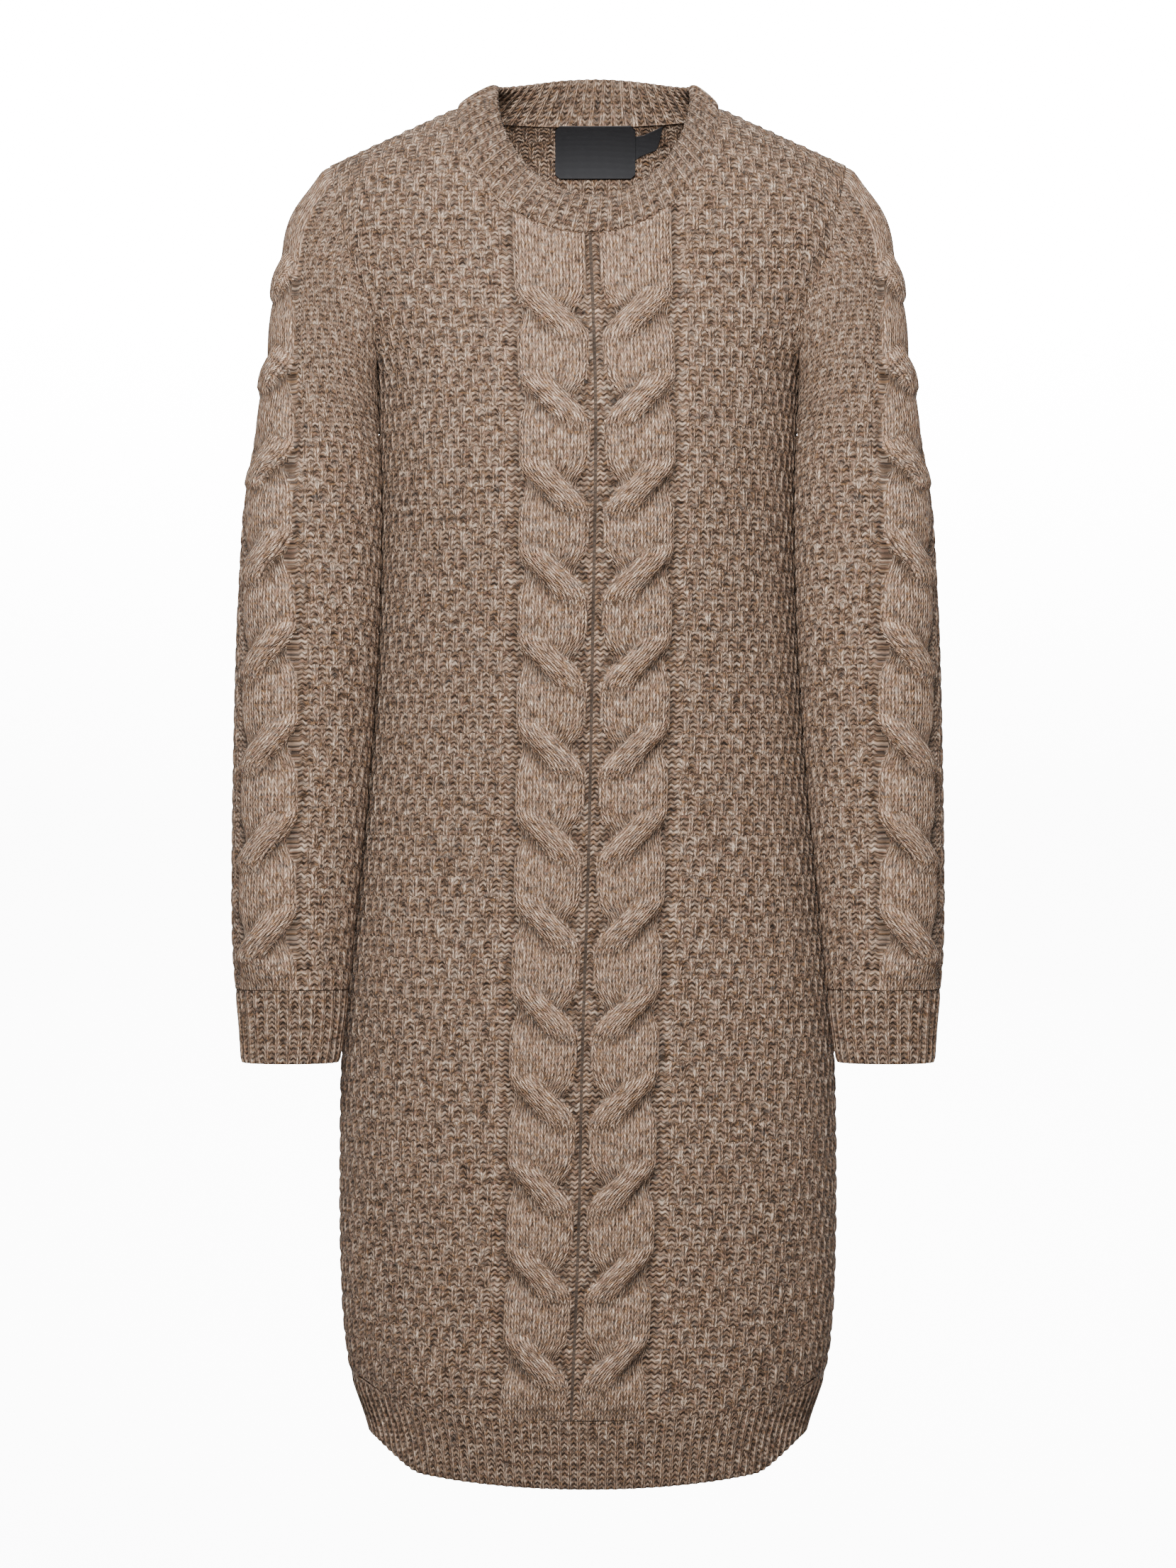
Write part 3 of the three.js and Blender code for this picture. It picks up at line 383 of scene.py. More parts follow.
# Front and back panel, from the neckline to the hem band
def panel(name, side):
    step, course = knit["gridStep"], knit["course"]
    zoneCols = 48
    outerCols = 85
    cols = zoneCols + 2 * outerCols
    topRows, middleRows, hemRows = 64, 176, 30
    upLimit = body["armpitZ"]
    j = np.arange(cols + 1)
    zonePart = np.clip((j - outerCols) / zoneCols * 2 - 1, -1, 1)
    sign = np.where(j < outerCols + zoneCols / 2, -1.0, 1.0)
    distance = np.maximum(0, np.maximum(outerCols - j, j - outerCols - zoneCols)) * step

    def xAt(z, part, sgn, away):
        middle = lookUp(cableZone, "z", "middle", z)
        zone = lookUp(cableZone, "z", "half", z)
        outer, total = acrossAt(side, z, zone + sgn * middle, away)
        x = np.where(away > 0, sgn * outer, middle + part * zone)
        return x, total

    # Upper ends of the columns, by halving the distance to the top edge
    low = np.full(cols + 1, upLimit)
    high = np.full(cols + 1, -0.01)
    for _ in range(22):
        z = (low + high) / 2
        x, _total = xAt(z, zonePart, sign, distance)
        top = necklineZ(side, x)
        atTip = (abs(x) > body["neckHalf"]) & (ridgeHeight(x) - z < 0.02)
        over = (z > top) | atTip
        high = np.where(over, z, high)
        low = np.where(over, low, z)
    endZ = low
    tau = np.linspace(0, 1, 90)
    zs = endZ[None, :] - (endZ - upLimit)[None, :] * (1 - tau[:, None]) ** 2
    xs, _total = xAt(zs, zonePart[None, :], sign[None, :], distance[None, :])
    ys = bodyDepth(side, xs, zs, folded=False)
    lengths = np.concatenate([np.zeros((1, cols + 1)),
                              np.cumsum(np.hypot(np.diff(zs, axis=0), np.diff(ys, axis=0)),
                                        axis=0)])
    rows = hemRows + middleRows + topRows
    z = np.empty((rows + 1, cols + 1))
    v = np.empty_like(z)
    lowRows = hemRows + middleRows
    i = np.arange(rows + 1)
    z[:lowRows + 1] = (upLimit - (lowRows - i[:lowRows + 1]) * course)[:, None]
    v[:] = (i - lowRows)[:, None]
    topAway = np.full((rows + 1, cols + 1), 99.0)
    for k in range(cols + 1):
        wanted = (i[lowRows:] - lowRows) * course
        z[lowRows:, k] = np.interp(wanted, lengths[:, k], zs[:, k])
        v[lowRows:, k] = np.minimum(wanted, lengths[-1, k]) / course
        topAway[lowRows:, k] = np.maximum(lengths[-1, k] - wanted, 0)
        topAway[:lowRows + 1, k] = lengths[-1, k] + (lowRows - i[:lowRows + 1]) * course
    floor = np.full(cols + 1, body["probeZ"])
    for _ in range(6):
        floor = ribTopZ(side, xAt(floor, zonePart, sign, distance)[0])
    lowEdge = z < floor[None, :]
    z = np.where(lowEdge, floor[None, :], z)
    x, total = xAt(z, zonePart[None, :], sign[None, :], distance[None, :])
    v = np.where(lowEdge, (z - upLimit) / course, v)

    # Columns past the side edge all stop at the edge's first point of their row
    past = distance[None, :] >= total
    for i in range(rows + 1):
        left = np.flatnonzero(past[i, :cols // 2])
        right = np.flatnonzero(past[i, cols // 2:]) + cols // 2
        for values in (z, v, topAway, total):
            if len(left):
                values[i, left] = values[i, left[-1]]
            if len(right):
                values[i, right] = values[i, right[0]]
    x = np.where(past, sign * edgeX(z), x)
    away = np.minimum(np.broadcast_to(distance, z.shape), total)
    sideAway = np.where(np.broadcast_to(distance, z.shape) > 0, total - away, 99.0)
    sideAway = np.where(np.broadcast_to(distance, z.shape) == 0, total, sideAway)
    y = bodyDepth(side, x, z)
    y = np.where(sideAway < 1e-3, np.where(z < body["armpitZ"], side * 0.05, y), y)
    base = stack(x, y, z)
    normal = bodyNormal(side, x, z)

    # Pattern coordinates and relief
    middle = lookUp(cableZone, "z", "middle", z)
    zone = lookUp(cableZone, "z", "half", z)
    stretch = zone / 49.6
    inner = np.broadcast_to(distance, z.shape) == 0
    wales = away / knit["wale"]
    u = np.where(inner, (x - middle) / stretch * 12 / 49.6, sign * (wales + 12))
    bars = barRelief(u, v)
    fadeIn = ease(0.3, 2.0, wales)
    gap = ease(0, 2.2, wales)
    along = cable["firstZ"] - z
    outward = (x - middle) * sign / stretch - cable["offset"]
    across = outward * sign
    rope = ropeField(across, along, cable["pitch"], sign, 1.0)[0]
    bottomAway = z - floor[None, :]
    rope = rope * ease(0, cable["fade"], bottomAway)
    relief = np.where(inner, rope, mix(cable["ground"], bars, gap * fadeIn))
    if side > 0:
        relief = barRelief(u, v)
    nearSeam = np.minimum(np.minimum(sideAway, topAway), bottomAway)
    tuck = 1.2 * np.exp(-(topAway / 2.5) ** 2) + 0.2 * np.exp(-(bottomAway / 2.0) ** 2)
    # Hollowness of the relief, for painted shade in its hollows and painted light on its ridges; the
    # inside gets none
    hollow = hollowness(relief)
    relief = relief * ease(0, 7, nearSeam) - tuck * ease(0, 4, sideAway)
    outside = base + normal * relief[..., None]

    # The plain inside, every sixth row, and closed at the side edges
    thick = body["wall"] * ease(-0.5, 4.0, sideAway)
    thick = np.where(sideAway < 1e-3, 0.0, thick)
    inside = base - normal * thick[..., None]
    atEdge = (sideAway < 4.5) | (topAway < 1e-3) | (bottomAway < 1e-3)
    atEdge[0] = atEdge[-1] = True
    li, lj = coarse(inside, atEdge)
    li, lj = li[::-1], lj[::-1]

    def wrap(values):
        return np.concatenate([values, values[li, lj], values[:1]])
    points = np.concatenate([outside, inside[li, lj], outside[:1]])
    uvs = wrap(np.stack([u, v], axis=-1))
    allAcross, allAlong = wrap(across), wrap(along)
    allSign = wrap(np.broadcast_to(sign, z.shape))
    allInner, allWales = wrap(inner), wrap(wales)

    def faceData(fi, fj, loopUv):
        meanAcross = allAcross[fi, fj].mean(axis=1)
        meanAlong = allAlong[fi, fj].mean(axis=1)
        sgn = np.where(allSign[fi, fj].mean(axis=1) < 0, -1.0, 1.0)
        isInner = allInner[fi, fj].all(axis=1)
        strand = ropeField(meanAcross, meanAlong, cable["pitch"], sgn, 1.0)[1]
        isOut = fi.max(axis=1) <= rows
        inZone = np.where(strand == 0, kindOf["purl"], kindOf["cable"])
        kinds = np.where(isInner, inZone, kindOf["bars"])
        beside = ~isInner & (allWales[fi, fj].mean(axis=1) < 1.5)
        kinds = np.where(beside, kindOf["purl"], kinds)
        if side > 0:
            kinds = np.full(len(kinds), kindOf["bars"])
        kinds = np.where(isOut, kinds, kindOf["bars"])
        if side < 0:
            loopUv = strandUv(loopUv, allAcross[fi, fj], allAlong[fi, fj], strand, kinds,
                              sgn[:, None], cable["pitch"], 1.0)
        return kinds, loopUv

    hollow = np.concatenate([hollow, hollow[::-1] * 0, hollow[:1]])
    return gridObject(name, cols, len(points) - 1, points, uvs, faceData, hollow,
                      flip=side > 0)


# Sleeve sections: outer and inner point seen from the front, depth of the middle,
# half depth, and the angle of the cable from the front
sleeveSections = table(
    "outerX outerZ innerX innerZ middleY depth cable",
    (171, -38.5, 142, -178, 2, 48, 90),
    (179.5, -50.5, 139.8, -185, 0, 49, 86),
    (192, -72, 137.7, -193, -3, 50, 79),
    (198.5, -98, 137, -202, -6, 51, 71),
    (204.5, -128, 136.3, -212, -10, 51, 63),
    (209.5, -160, 135.6, -224, -14, 51, 56),
    (215, -195, 135.2, -239, -18, 51, 50),
    (221, -232, 135.1, -258, -22, 51, 45),
    (226.5, -270, 135.6, -283, -25, 50, 41),
    (228.8, -310, 136.5, -315, -28, 49, 37),
    (230.6, -352, 137.7, -353, -31, 48, 33),
    (231.8, -400, 140.6, -400, -34, 46, 30),
    (232.6, -450, 144.3, -450, -37, 44, 28),
    (233, -500, 149, -500, -41, 41, 27),
    (232.6, -545, 153.4, -545, -45, 38, 26),
    (230.5, -582, 156.7, -582, -48, 35, 26),
)
for place, row in enumerate(sleeveSections):
    row["at"] = place

sleeveCable = dict(pitch=61.6, firstZ=-116.0, lead=23.0)

# Armhole loop and sleeves
loopUp = unit(np.array([body["shoulderX"] - body["armpitX"], 0,
                        body["shoulderZ"] - body["armpitZ"]]))
loopOut = np.array([loopUp[2], 0, -loopUp[0]])


def armholeSpot(angle):
    z = mix(body["armpitZ"], body["shoulderZ"], (1 + np.sin(angle)) / 2)
    x = edgeX(np.minimum(z, body["shoulderZ"]))
    front = bodyDepth(-1, x, z)
    behind = bodyDepth(1, x, z)
    flat = abs(np.cos(angle)) < 1e-6
    y = np.where(flat, body["seamY"], np.where(np.cos(angle) >= 0, front, behind))
    return stack(x, y, z)


def sleeveMiddle(at):
    def read(column):
        return lookUp(sleeveSections, "at", column, at)
    outerSpot = stack(read("outerX"), 0, read("outerZ"))
    innerSpot = stack(read("innerX"), 0, read("innerZ"))
    middle = (outerSpot + innerSpot) / 2
    middle[..., 1] = read("middleY")
    return middle, (outerSpot - innerSpot) / 2, read("depth"), read("cable")


def sleeveSpot(at, degrees):
    at, degrees = np.broadcast_arrays(at, degrees)
    middle, reach, depth, _cable = sleeveMiddle(at)
    angle = np.radians(degrees)
    spot = middle + reach * np.sin(angle)[..., None]
    spot[..., 1] -= depth * np.cos(angle)
    firstMiddle, firstReach, firstDepth, _cable = sleeveMiddle(np.zeros_like(at))
    plain = firstMiddle + firstReach * np.sin(angle)[..., None]
    plain[..., 1] -= firstDepth * np.cos(angle)
    fade = 1 - ease(0, 5, at)
    spot = spot + (armholeSpot(angle) - plain) * fade[..., None]

    # Keeps the sleeve clear of the body beside it
    z = spot[..., 2]
    half = lookUp(bodySections, "z", "half", z)
    front = lookUp(bodySections, "z", "front", z)
    back = lookUp(bodySections, "z", "back", z)
    deep = np.where(spot[..., 1] < 0, front, back)
    f = np.clip(1 - abs(spot[..., 1] / deep) ** body["squareness"], 0, 1)
    grow = np.clip(at / 3, 0, 1)
    least = half * f ** (1 / body["squareness"]) + 0.3 + 0.9 * grow
    over = spot[..., 0] - least
    clear = least + (over + np.hypot(over, 0.6 + 1.2 * grow)) / 2
    share = (1 - ease(body["armpitZ"] + 22, body["armpitZ"] + 50, z)) * (at > 0)
    spot[..., 0] = mix(spot[..., 0], clear, share)
    return spot + loopOut * (0.35 * (1 - ease(0, 3, at)))[..., None]


def sleeve(name, sign):
    last = len(sleeveSections) - 1
    halfCols = 74
    cols = 2 * halfCols
    fine = np.linspace(0, last, 500)
    cablePath = sleeveSpot(fine, lookUp(sleeveSections, "at", "cable", fine))
    run = np.concatenate([[0], np.cumsum(np.linalg.norm(np.diff(cablePath, axis=0), axis=1))])
    rows = int(run[-1] / knit["course"])
    at = np.interp(np.linspace(0, run[-1], rows + 1), run, fine)
    cableAt = lookUp(sleeveSections, "at", "cable", at)
    halfTurns = 72
    turns = np.linspace(-180, 180, 2 * halfTurns + 1)
    ring = sleeveSpot(at[:, None], cableAt[:, None] + turns[None, :])
    seg = np.linalg.norm(np.diff(ring, axis=1), axis=2)
    degrees = np.empty((rows + 1, cols + 1))
    reachLeft = seg[:, :halfTurns].sum(axis=1)
    reachRight = seg[:, halfTurns:].sum(axis=1)
    away = (np.arange(cols + 1) - halfCols) * knit["gridStep"]
    held = np.empty_like(degrees)
    for i in range(rows + 1):
        arc = np.concatenate([[0], np.cumsum(seg[i])]) - reachLeft[i]
        held[i] = np.clip(away, -reachLeft[i], reachRight[i])
        degrees[i] = cableAt[i] + np.interp(held[i], arc, turns)
    atGrid = np.broadcast_to(at[:, None], degrees.shape)
    base = sleeveSpot(atGrid, degrees)
    ahead = np.clip(atGrid + 0.05, 0.07, last)
    along = sleeveSpot(ahead, degrees) - sleeveSpot(ahead - 0.1, degrees)
    around = sleeveSpot(np.maximum(atGrid, 0.02), degrees + 1.5) \
        - sleeveSpot(np.maximum(atGrid, 0.02), degrees - 1.5)
    normal = unit(np.cross(along, around))

    lift = np.linalg.norm(np.diff(base, axis=0), axis=2)
    v = np.concatenate([np.cumsum(lift[::-1], axis=0)[::-1], np.zeros((1, cols + 1))])
    v = v / knit["course"]
    cableZ = sleeveSpot(at, cableAt)[:, 2]
    cableRun = np.broadcast_to((sleeveCable["firstZ"] - cableZ)[:, None], degrees.shape)
    rope = ropeField(held, cableRun, sleeveCable["pitch"], -1.0, 0.0)[0]
    fromRope = np.maximum(abs(held) - sleeveCable["lead"], 0)
    wales = fromRope / knit["wale"]
    u = np.sign(held) * (wales + 12)
    bars = barRelief(u, v)
    rope = rope * ease(0, cable["fade"], v * knit["course"])
    relief = np.where(abs(held) <= sleeveCable["lead"], rope,
                      mix(cable["ground"], bars, ease(0.5, 2.5, wales)))
    toUnder = np.where(held > 0, reachRight[:, None] - held, reachLeft[:, None] + held)
    fromTop = run[-1] * np.linspace(0, 1, rows + 1)[:, None] + 0 * held
    fromTop = np.minimum(fromTop, np.cumsum(np.concatenate([np.zeros((1, cols + 1)), lift]), 0))
    nearSeam = np.minimum(toUnder, np.minimum(fromTop, v * knit["course"]))
    # Hollowness of the relief, for painted shade in its hollows and painted light on its ridges; the
    # inside gets none
    hollow = hollowness(relief)
    relief = relief * ease(0, 7, nearSeam) * mix(0.35, 1, ease(10, 60, fromTop))
    base[0] = base[0] - loopOut * 1.3 - normal[0] * 0.8
    outside = base + normal * relief[..., None]
    thick = body["wall"] * ease(-0.5, 5, fromTop)
    thick[0] = 0
    inside = base - normal * thick[..., None]
    atEdge = (toUnder < 4.5) | (fromTop < 6)
    atEdge[0] = atEdge[-1] = True
    li, lj = coarse(inside, atEdge)
    li, lj = li[::-1], lj[::-1]

    def wrap(values):
        return np.concatenate([values, values[li, lj], values[:1]])
    points = np.concatenate([outside, inside[li, lj], outside[:1]])
    points[..., 0] *= sign
    uvs = wrap(np.stack([u, v], axis=-1))
    allHeld, allRun = wrap(held), wrap(cableRun)

    def faceData(fi, fj, loopUv):
        meanHeld = allHeld[fi, fj].mean(axis=1)
        meanRun = allRun[fi, fj].mean(axis=1)
        strand = ropeField(meanHeld, meanRun, sleeveCable["pitch"], -1.0, 0.0)[1]
        inRope = abs(meanHeld) < sleeveCable["lead"] + 1
        kinds = np.where(inRope & (strand != 0), kindOf["cable"], kindOf["bars"])
        beside = (kinds == kindOf["bars"]) & (abs(meanHeld) < sleeveCable["lead"] + 7)
        kinds = np.where(beside, kindOf["purl"], kinds)
        kinds = np.where(fi.max(axis=1) <= rows, kinds, kindOf["bars"])
        loopUv = strandUv(loopUv, allHeld[fi, fj], allRun[fi, fj], strand, kinds,
                          -1.0, sleeveCable["pitch"], 0.0)
        return kinds, loopUv

    hollow = np.concatenate([hollow, hollow * 0, hollow[:1]])
    return gridObject(name, cols, len(points) - 1, points, uvs, faceData, hollow,
                      flip=sign > 0)


# Ribs: rounded knit columns with narrow valleys, each perRib columns of faces wide
perRib = 6


def ribRelief(turn, lift):
    wave = np.cos(turn * 2 * math.pi)
    return lift * np.sign(wave) * abs(wave) ** 0.7


def ribFaces(fi, _fj, loopUv):
    return np.full(len(fi), kindOf["rib"]), loopUv


def ribTube(name, ribs, profilePoints, normals, vAlong, lift, flip):
    cols = ribs * perRib
    rows = len(vAlong) - 1
    turn = np.arange(cols + 1) / perRib
    wave = ribRelief(turn, 1.0)
    points = profilePoints + normals * (lift[:, None] * wave[None, :])[..., None]
    u = np.broadcast_to(2 * turn + 0.5, points.shape[:2])
    v = np.broadcast_to(vAlong[:, None], points.shape[:2])
    uvs = np.stack([u, v], axis=-1)

    # Painted shade in the rib valleys and painted light on the rib tops
    hollow = np.broadcast_to(-0.5 * wave[None, :], points.shape[:2])
    return gridObject(name, cols, rows, points, uvs, ribFaces, hollow, flip=flip)


hem = dict(ribPitch=6.4, ribLift=0.7)


def hemRib(name, side):
    sampleX = np.linspace(-1, 1, 1201)
    half = lookUp(bodySections, "z", "half", body["probeZ"])
    xs = half * np.sin(sampleX * math.pi / 2)
    ys = bodyDepth(side, xs, body["probeZ"])
    arc = np.concatenate([[0], np.cumsum(np.hypot(np.diff(xs), np.diff(ys)))])
    ribs = int(arc[-1] / hem["ribPitch"])
    cols = ribs * perRib
    xRow = np.interp(np.linspace(0, arc[-1], cols + 1), arc, xs)
    rows = 15
    f = np.linspace(0, 1, rows + 1)[:, None]
    low = hemZ(side, xRow)[None, :]
    high = ribTopZ(side, xRow)[None, :] - 0.02
    z = mix(low, high, f)
    width = lookUp(bodySections, "z", "half", z) / half
    x = xRow[None, :] * width
    y = bodyDepth(side, x, z)
    ends = np.zeros(cols + 1, dtype=bool)
    ends[[0, -1]] = True
    y = np.where(ends[None, :], side * 0.05, y)
    base = stack(x, y, z)
    normal = bodyNormal(side, x, z)
    lengthUp = (high - low)
    v = f * lengthUp / knit["course"]
    endAway = np.minimum(np.arange(cols + 1), cols - np.arange(cols + 1)) * hem["ribPitch"] / perRib
    nearSeam = np.minimum(endAway[None, :], (1 - f) * lengthUp)
    turn = np.arange(cols + 1) / perRib
    wave = ribRelief(turn, 1.0)[None, :]
    edge = ease(0, 6, nearSeam)
    tuck = 0.2 * np.exp(-(nearSeam / 2.0) ** 2) + 1.4 * np.exp(-(f * lengthUp / 1.6) ** 2)
    outside = base + normal * (hem["ribLift"] * wave * edge - tuck)[..., None]
    thick = body["wall"] * ease(-0.5, 4, endAway)
    thick[[0, -1]] = 0
    pick = np.arange(rows, -1, -1)
    roundUnder = np.where(f < 0.01, 0.9, 0.0)
    inside = base - normal * (thick[None, :] - roundUnder * (thick[None, :] > 1)
                              + np.where(thick[None, :] > 0, 0, tuck))[..., None]
    points = np.concatenate([outside, inside[pick], outside[:1]])
    u = np.broadcast_to(2 * turn + 0.5, z.shape)
    uvs = np.stack([u, v], axis=-1)
    uvs = np.concatenate([uvs, uvs[pick], uvs[:1]])

    # Painted shade in the rib valleys and painted light on the rib tops
    hollow = np.broadcast_to(-0.5 * wave, points.shape[:2])
    return gridObject(name, cols, len(points) - 1, points, uvs, ribFaces, hollow,
                      flip=side > 0)


cuff = dict(ribs=28, topZ=-582.3, bottomZ=-630.0, ribLift=0.9, wall=3.2)

# Cuff sections
cuffSections = table(
    "z outerX innerX depth middleY",
    (-582.3, 230, 157.2, 34.5, -48),
    (-598, 228.4, 158.6, 32.5, -49),
    (-614, 227, 160.6, 31.4, -50),
    (-630, 226, 162.8, 31, -51),
)


def cuffTube(name, sign):
    cols = cuff["ribs"] * perRib
    height = cuff["topZ"] - cuff["bottomZ"]
    rows = 15
    f = np.linspace(0, 1, rows + 1)
    inner = np.array([0.0, 0.3, 0.7, 1.0])
    along = np.concatenate([f[::-1], inner, [1.0]])
    inset = np.concatenate([np.zeros(rows + 1), np.full(4, cuff["wall"]), [0.0]])
    inset[0] = inset[-1] = 0.1
    inset[rows] = 0.9
    inset[rows + 1] = 2.6
    lift = np.concatenate([ease(0, 0.12, 1 - f[::-1]) * cuff["ribLift"], np.zeros(5)])
    angle = np.linspace(0, 2 * math.pi, cols + 1)[None, :]
    z = (cuff["bottomZ"] + along * height)[:, None] + 0 * angle

    def read(column):
        return lookUp(cuffSections, "z", column, z)
    halfX = (read("outerX") - read("innerX")) / 2 - inset[:, None]
    depth = read("depth") - inset[:, None]
    x = (read("outerX") + read("innerX")) / 2 + halfX * np.sin(angle)
    y = read("middleY") - depth * np.cos(angle)
    normals = unit(stack(depth * np.sin(angle), -halfX * np.cos(angle), 0 * angle))
    points = stack(x, y, z)
    points[..., 0] *= sign
    normals[..., 0] *= sign
    v = along * height / knit["course"]
    return ribTube(name, cuff["ribs"], points, normals, v, lift, flip=sign > 0)


collar = dict(ribs=72, topHalf=63.7, topMiddle=4.0, topSide=14.6, topFront=-64.0,
              topBack=26.0, frontDepth=60.0, backDepth=52.0, ribLift=0.6)


# Collar: a rounded band between the neckline and its upper edge
def collarTube():
    fine = np.linspace(0, 2 * math.pi, 1441)
    x = body["neckHalf"] * np.cos(fine)
    front = np.sin(fine) <= 0
    z = np.where(front, body["neckFront"], -body["neckBack"]) * np.sin(fine)
    y = np.where(front, bodyDepth(-1, x, z), bodyDepth(1, x, z))
    loop = stack(x, y, z)
    kernel = np.hanning(61)
    kernel /= kernel.sum()
    wrapped = np.concatenate([loop[-61:-1], loop, loop[1:61]])
    smooth = np.stack([np.convolve(wrapped[:, k], kernel, mode="same") for k in range(3)],
                      axis=1)[60:-60]
    arc = np.concatenate([[0], np.cumsum(np.linalg.norm(np.diff(smooth, axis=0), axis=1))])
    cols = collar["ribs"] * perRib
    at = np.linspace(0, arc[-1], cols + 1)
    seam = np.stack([np.interp(at, arc, smooth[:, k]) for k in range(3)], axis=1)
    seam[-1] = seam[0]
    angle = np.interp(at, arc, fine)
    frontness = -np.sin(angle)
    topZ = np.where(frontness > 0, mix(collar["topSide"], collar["topFront"], frontness),
                    mix(collar["topSide"], collar["topBack"], frontness ** 2))
    topY = np.where(frontness > 0, -collar["frontDepth"], collar["backDepth"])
    top = stack(collar["topMiddle"] + collar["topHalf"] * np.cos(angle),
                topY * abs(np.sin(angle)), topZ)
    up = top - seam
    around = np.roll(seam[:-1], -1, axis=0) - np.roll(seam[:-1], 1, axis=0)
    around = np.concatenate([around, around[:1]])
    out = unit(np.cross(around, up))
    outward = seam * np.array([1, 1, 0])
    out *= np.sign((out * outward).sum(axis=1, keepdims=True))

    # Profile: share of the height, distance outwards and share of the rib relief
    profile = [
        (-0.02, 0.2, 0.0), (0.02, 1.4, 0.3), (0.08, 2.3, 0.8), (0.18, 2.9, 1.0),
        (0.32, 3.2, 1.0), (0.46, 3.3, 1.0), (0.6, 3.2, 1.0), (0.73, 2.9, 1.0),
        (0.84, 2.5, 0.9), (0.92, 1.9, 0.7), (0.975, 0.8, 0.4), (1.0, -0.5, 0.3),
        (0.985, -1.8, 0.4), (0.92, -2.6, 0.6), (0.75, -2.9, 0.7), (0.55, -3.0, 0.7),
        (0.35, -2.9, 0.7), (0.15, -2.8, 0.5), (0.02, -2.9, 0.2), (-0.06, -3.4, 0.0),
        (-0.02, 0.2, 0.0),
    ]
    share = np.array([p[0] for p in profile])
    push = np.array([p[1] for p in profile])
    lift = np.array([p[2] for p in profile]) * collar["ribLift"]
    points = seam[None] + up[None] * share[:, None, None] + out[None] * push[:, None, None]
    below = np.roll(points, 1, axis=0)
    above = np.roll(points, -1, axis=0)
    below[0], above[0] = points[-2], points[1]
    below[-1], above[-1] = points[-2], points[1]
    normals = unit(np.cross(np.broadcast_to(around[None], points.shape), above - below))
    toOut = (normals * (points - (seam + up * 0.5)[None])).sum(axis=2, keepdims=True)
    normals *= np.where(toOut < 0, -1.0, 1.0)
    v = np.concatenate([[0], np.cumsum(np.hypot(np.diff(share) * 28, np.diff(push)))])
    return ribTube("collar_knit", collar["ribs"], points, normals, v / knit["course"], lift,
                   flip=False)


label = dict(width=55.0, height=34.0, middleX=5.0, topZ=-2.4, corner=3.0, clear=1.2, thick=0.9)
tab = dict(left=30, right=51, topZ=-8, lowZ=-26, tip=4, clear=0.3, thick=0.7)


# Label and tab on the inside of the back
def plate(name, spots, clear, thick):
    spots = np.array(spots)
    x, z = spots[..., 0], spots[..., 1]
    y = bodyDepth(1, x, z)
    normal = bodyNormal(1, x, z)
    base = stack(x, y, z)
    near = base - normal * (body["wall"] + clear)
    far = near - normal * thick
    rows, cols = x.shape
    points = np.concatenate([far, near[::-1], far[:1]])
    uv = np.stack(np.meshgrid(np.arange(cols), np.arange(len(points))), axis=-1) * 1.0
    obj = gridObject(name, cols - 1, len(points) - 1, points, uv)
    bm = bmesh.new()
    bm.from_mesh(obj.data)
    bmesh.ops.holes_fill(bm, edges=[e for e in bm.edges if e.is_boundary], sides=0)
    bmesh.ops.recalc_face_normals(bm, faces=bm.faces)
    bm.to_mesh(obj.data)
    bm.free()
    return obj


def labelSpots():
    rows, cols = 12, 18
    spots = []
    for i in range(rows + 1):
        height = i / rows
        edge = min(height, 1 - height) * label["height"]
        r = label["corner"]
        cut = r - math.sqrt(r * r - (r - edge) ** 2) if edge < r else 0
        half = label["width"] / 2 - cut
        z = label["topZ"] - label["height"] * (1 - height)
        spots.append([(label["middleX"] + half * (2 * j / cols - 1), z)
                      for j in range(cols + 1)])
    return spots


def tabSpots():
    left, right, topZ, lowZ = (tab[key] for key in ("left", "right", "topZ", "lowZ"))
    corners = np.array([
        [(left, lowZ), (left + 6, lowZ + 4), (right - 4, lowZ + 8)],
        [(left, mix(lowZ, topZ, 0.5)), (left + 8, mix(lowZ, topZ, 0.6)),
         (right - 2, mix(lowZ, topZ, 0.75))],
        [(left, topZ - 2), (left + 8, topZ - 1), (right, topZ + tab["tip"])],
    ], dtype=float)
    f = np.linspace(0, 2, 9)
    low = np.clip(f.astype(int), 0, 1)
    part = (f - low)[:, None, None]
    rowsFine = corners[low] * (1 - part) + corners[low + 1] * part
    part = (f - low)[None, :, None]
    return rowsFine[:, low] * (1 - part) + rowsFine[:, low + 1] * part


# Materials
def node(tree, kind, x, y, **settings):
    made = tree.nodes.new(kind)
    made.location = (x, y)
    for key, value in settings.items():
        setattr(made, key, value)
    return made


# Fills a socket with a value, or links the output that is given
def feed(tree, socket, value):
    if isinstance(value, (int, float, tuple)):
        socket.default_value = value
    elif value is not None:
        tree.links.new(value, socket)


def math2(tree, operation, a, b=None, c=None):
    made = tree.nodes.new("ShaderNodeMath")
    made.operation = operation
    for socket, value in zip(made.inputs, (a, b, c)):
        feed(tree, socket, value)
    return made.outputs[0]


def mixColor(tree, factor, a, b, blend="MIX"):
    made = tree.nodes.new("ShaderNodeMix")
    made.data_type = "RGBA"
    made.blend_type = blend
    for socket, value in ((made.inputs[0], factor), (made.inputs[6], a), (made.inputs[7], b)):
        feed(tree, socket, value)
    return made.outputs[2]


def ramp(tree, value, stops):
    made = node(tree, "ShaderNodeValToRGB", -200, 600)
    line = made.color_ramp
    while len(line.elements) < len(stops):
        line.elements.new(0.5)
    for element, (place, color) in zip(line.elements, stops):
        element.position = place
        element.color = color
    tree.links.new(value, made.inputs[0])
    return made.outputs[0]


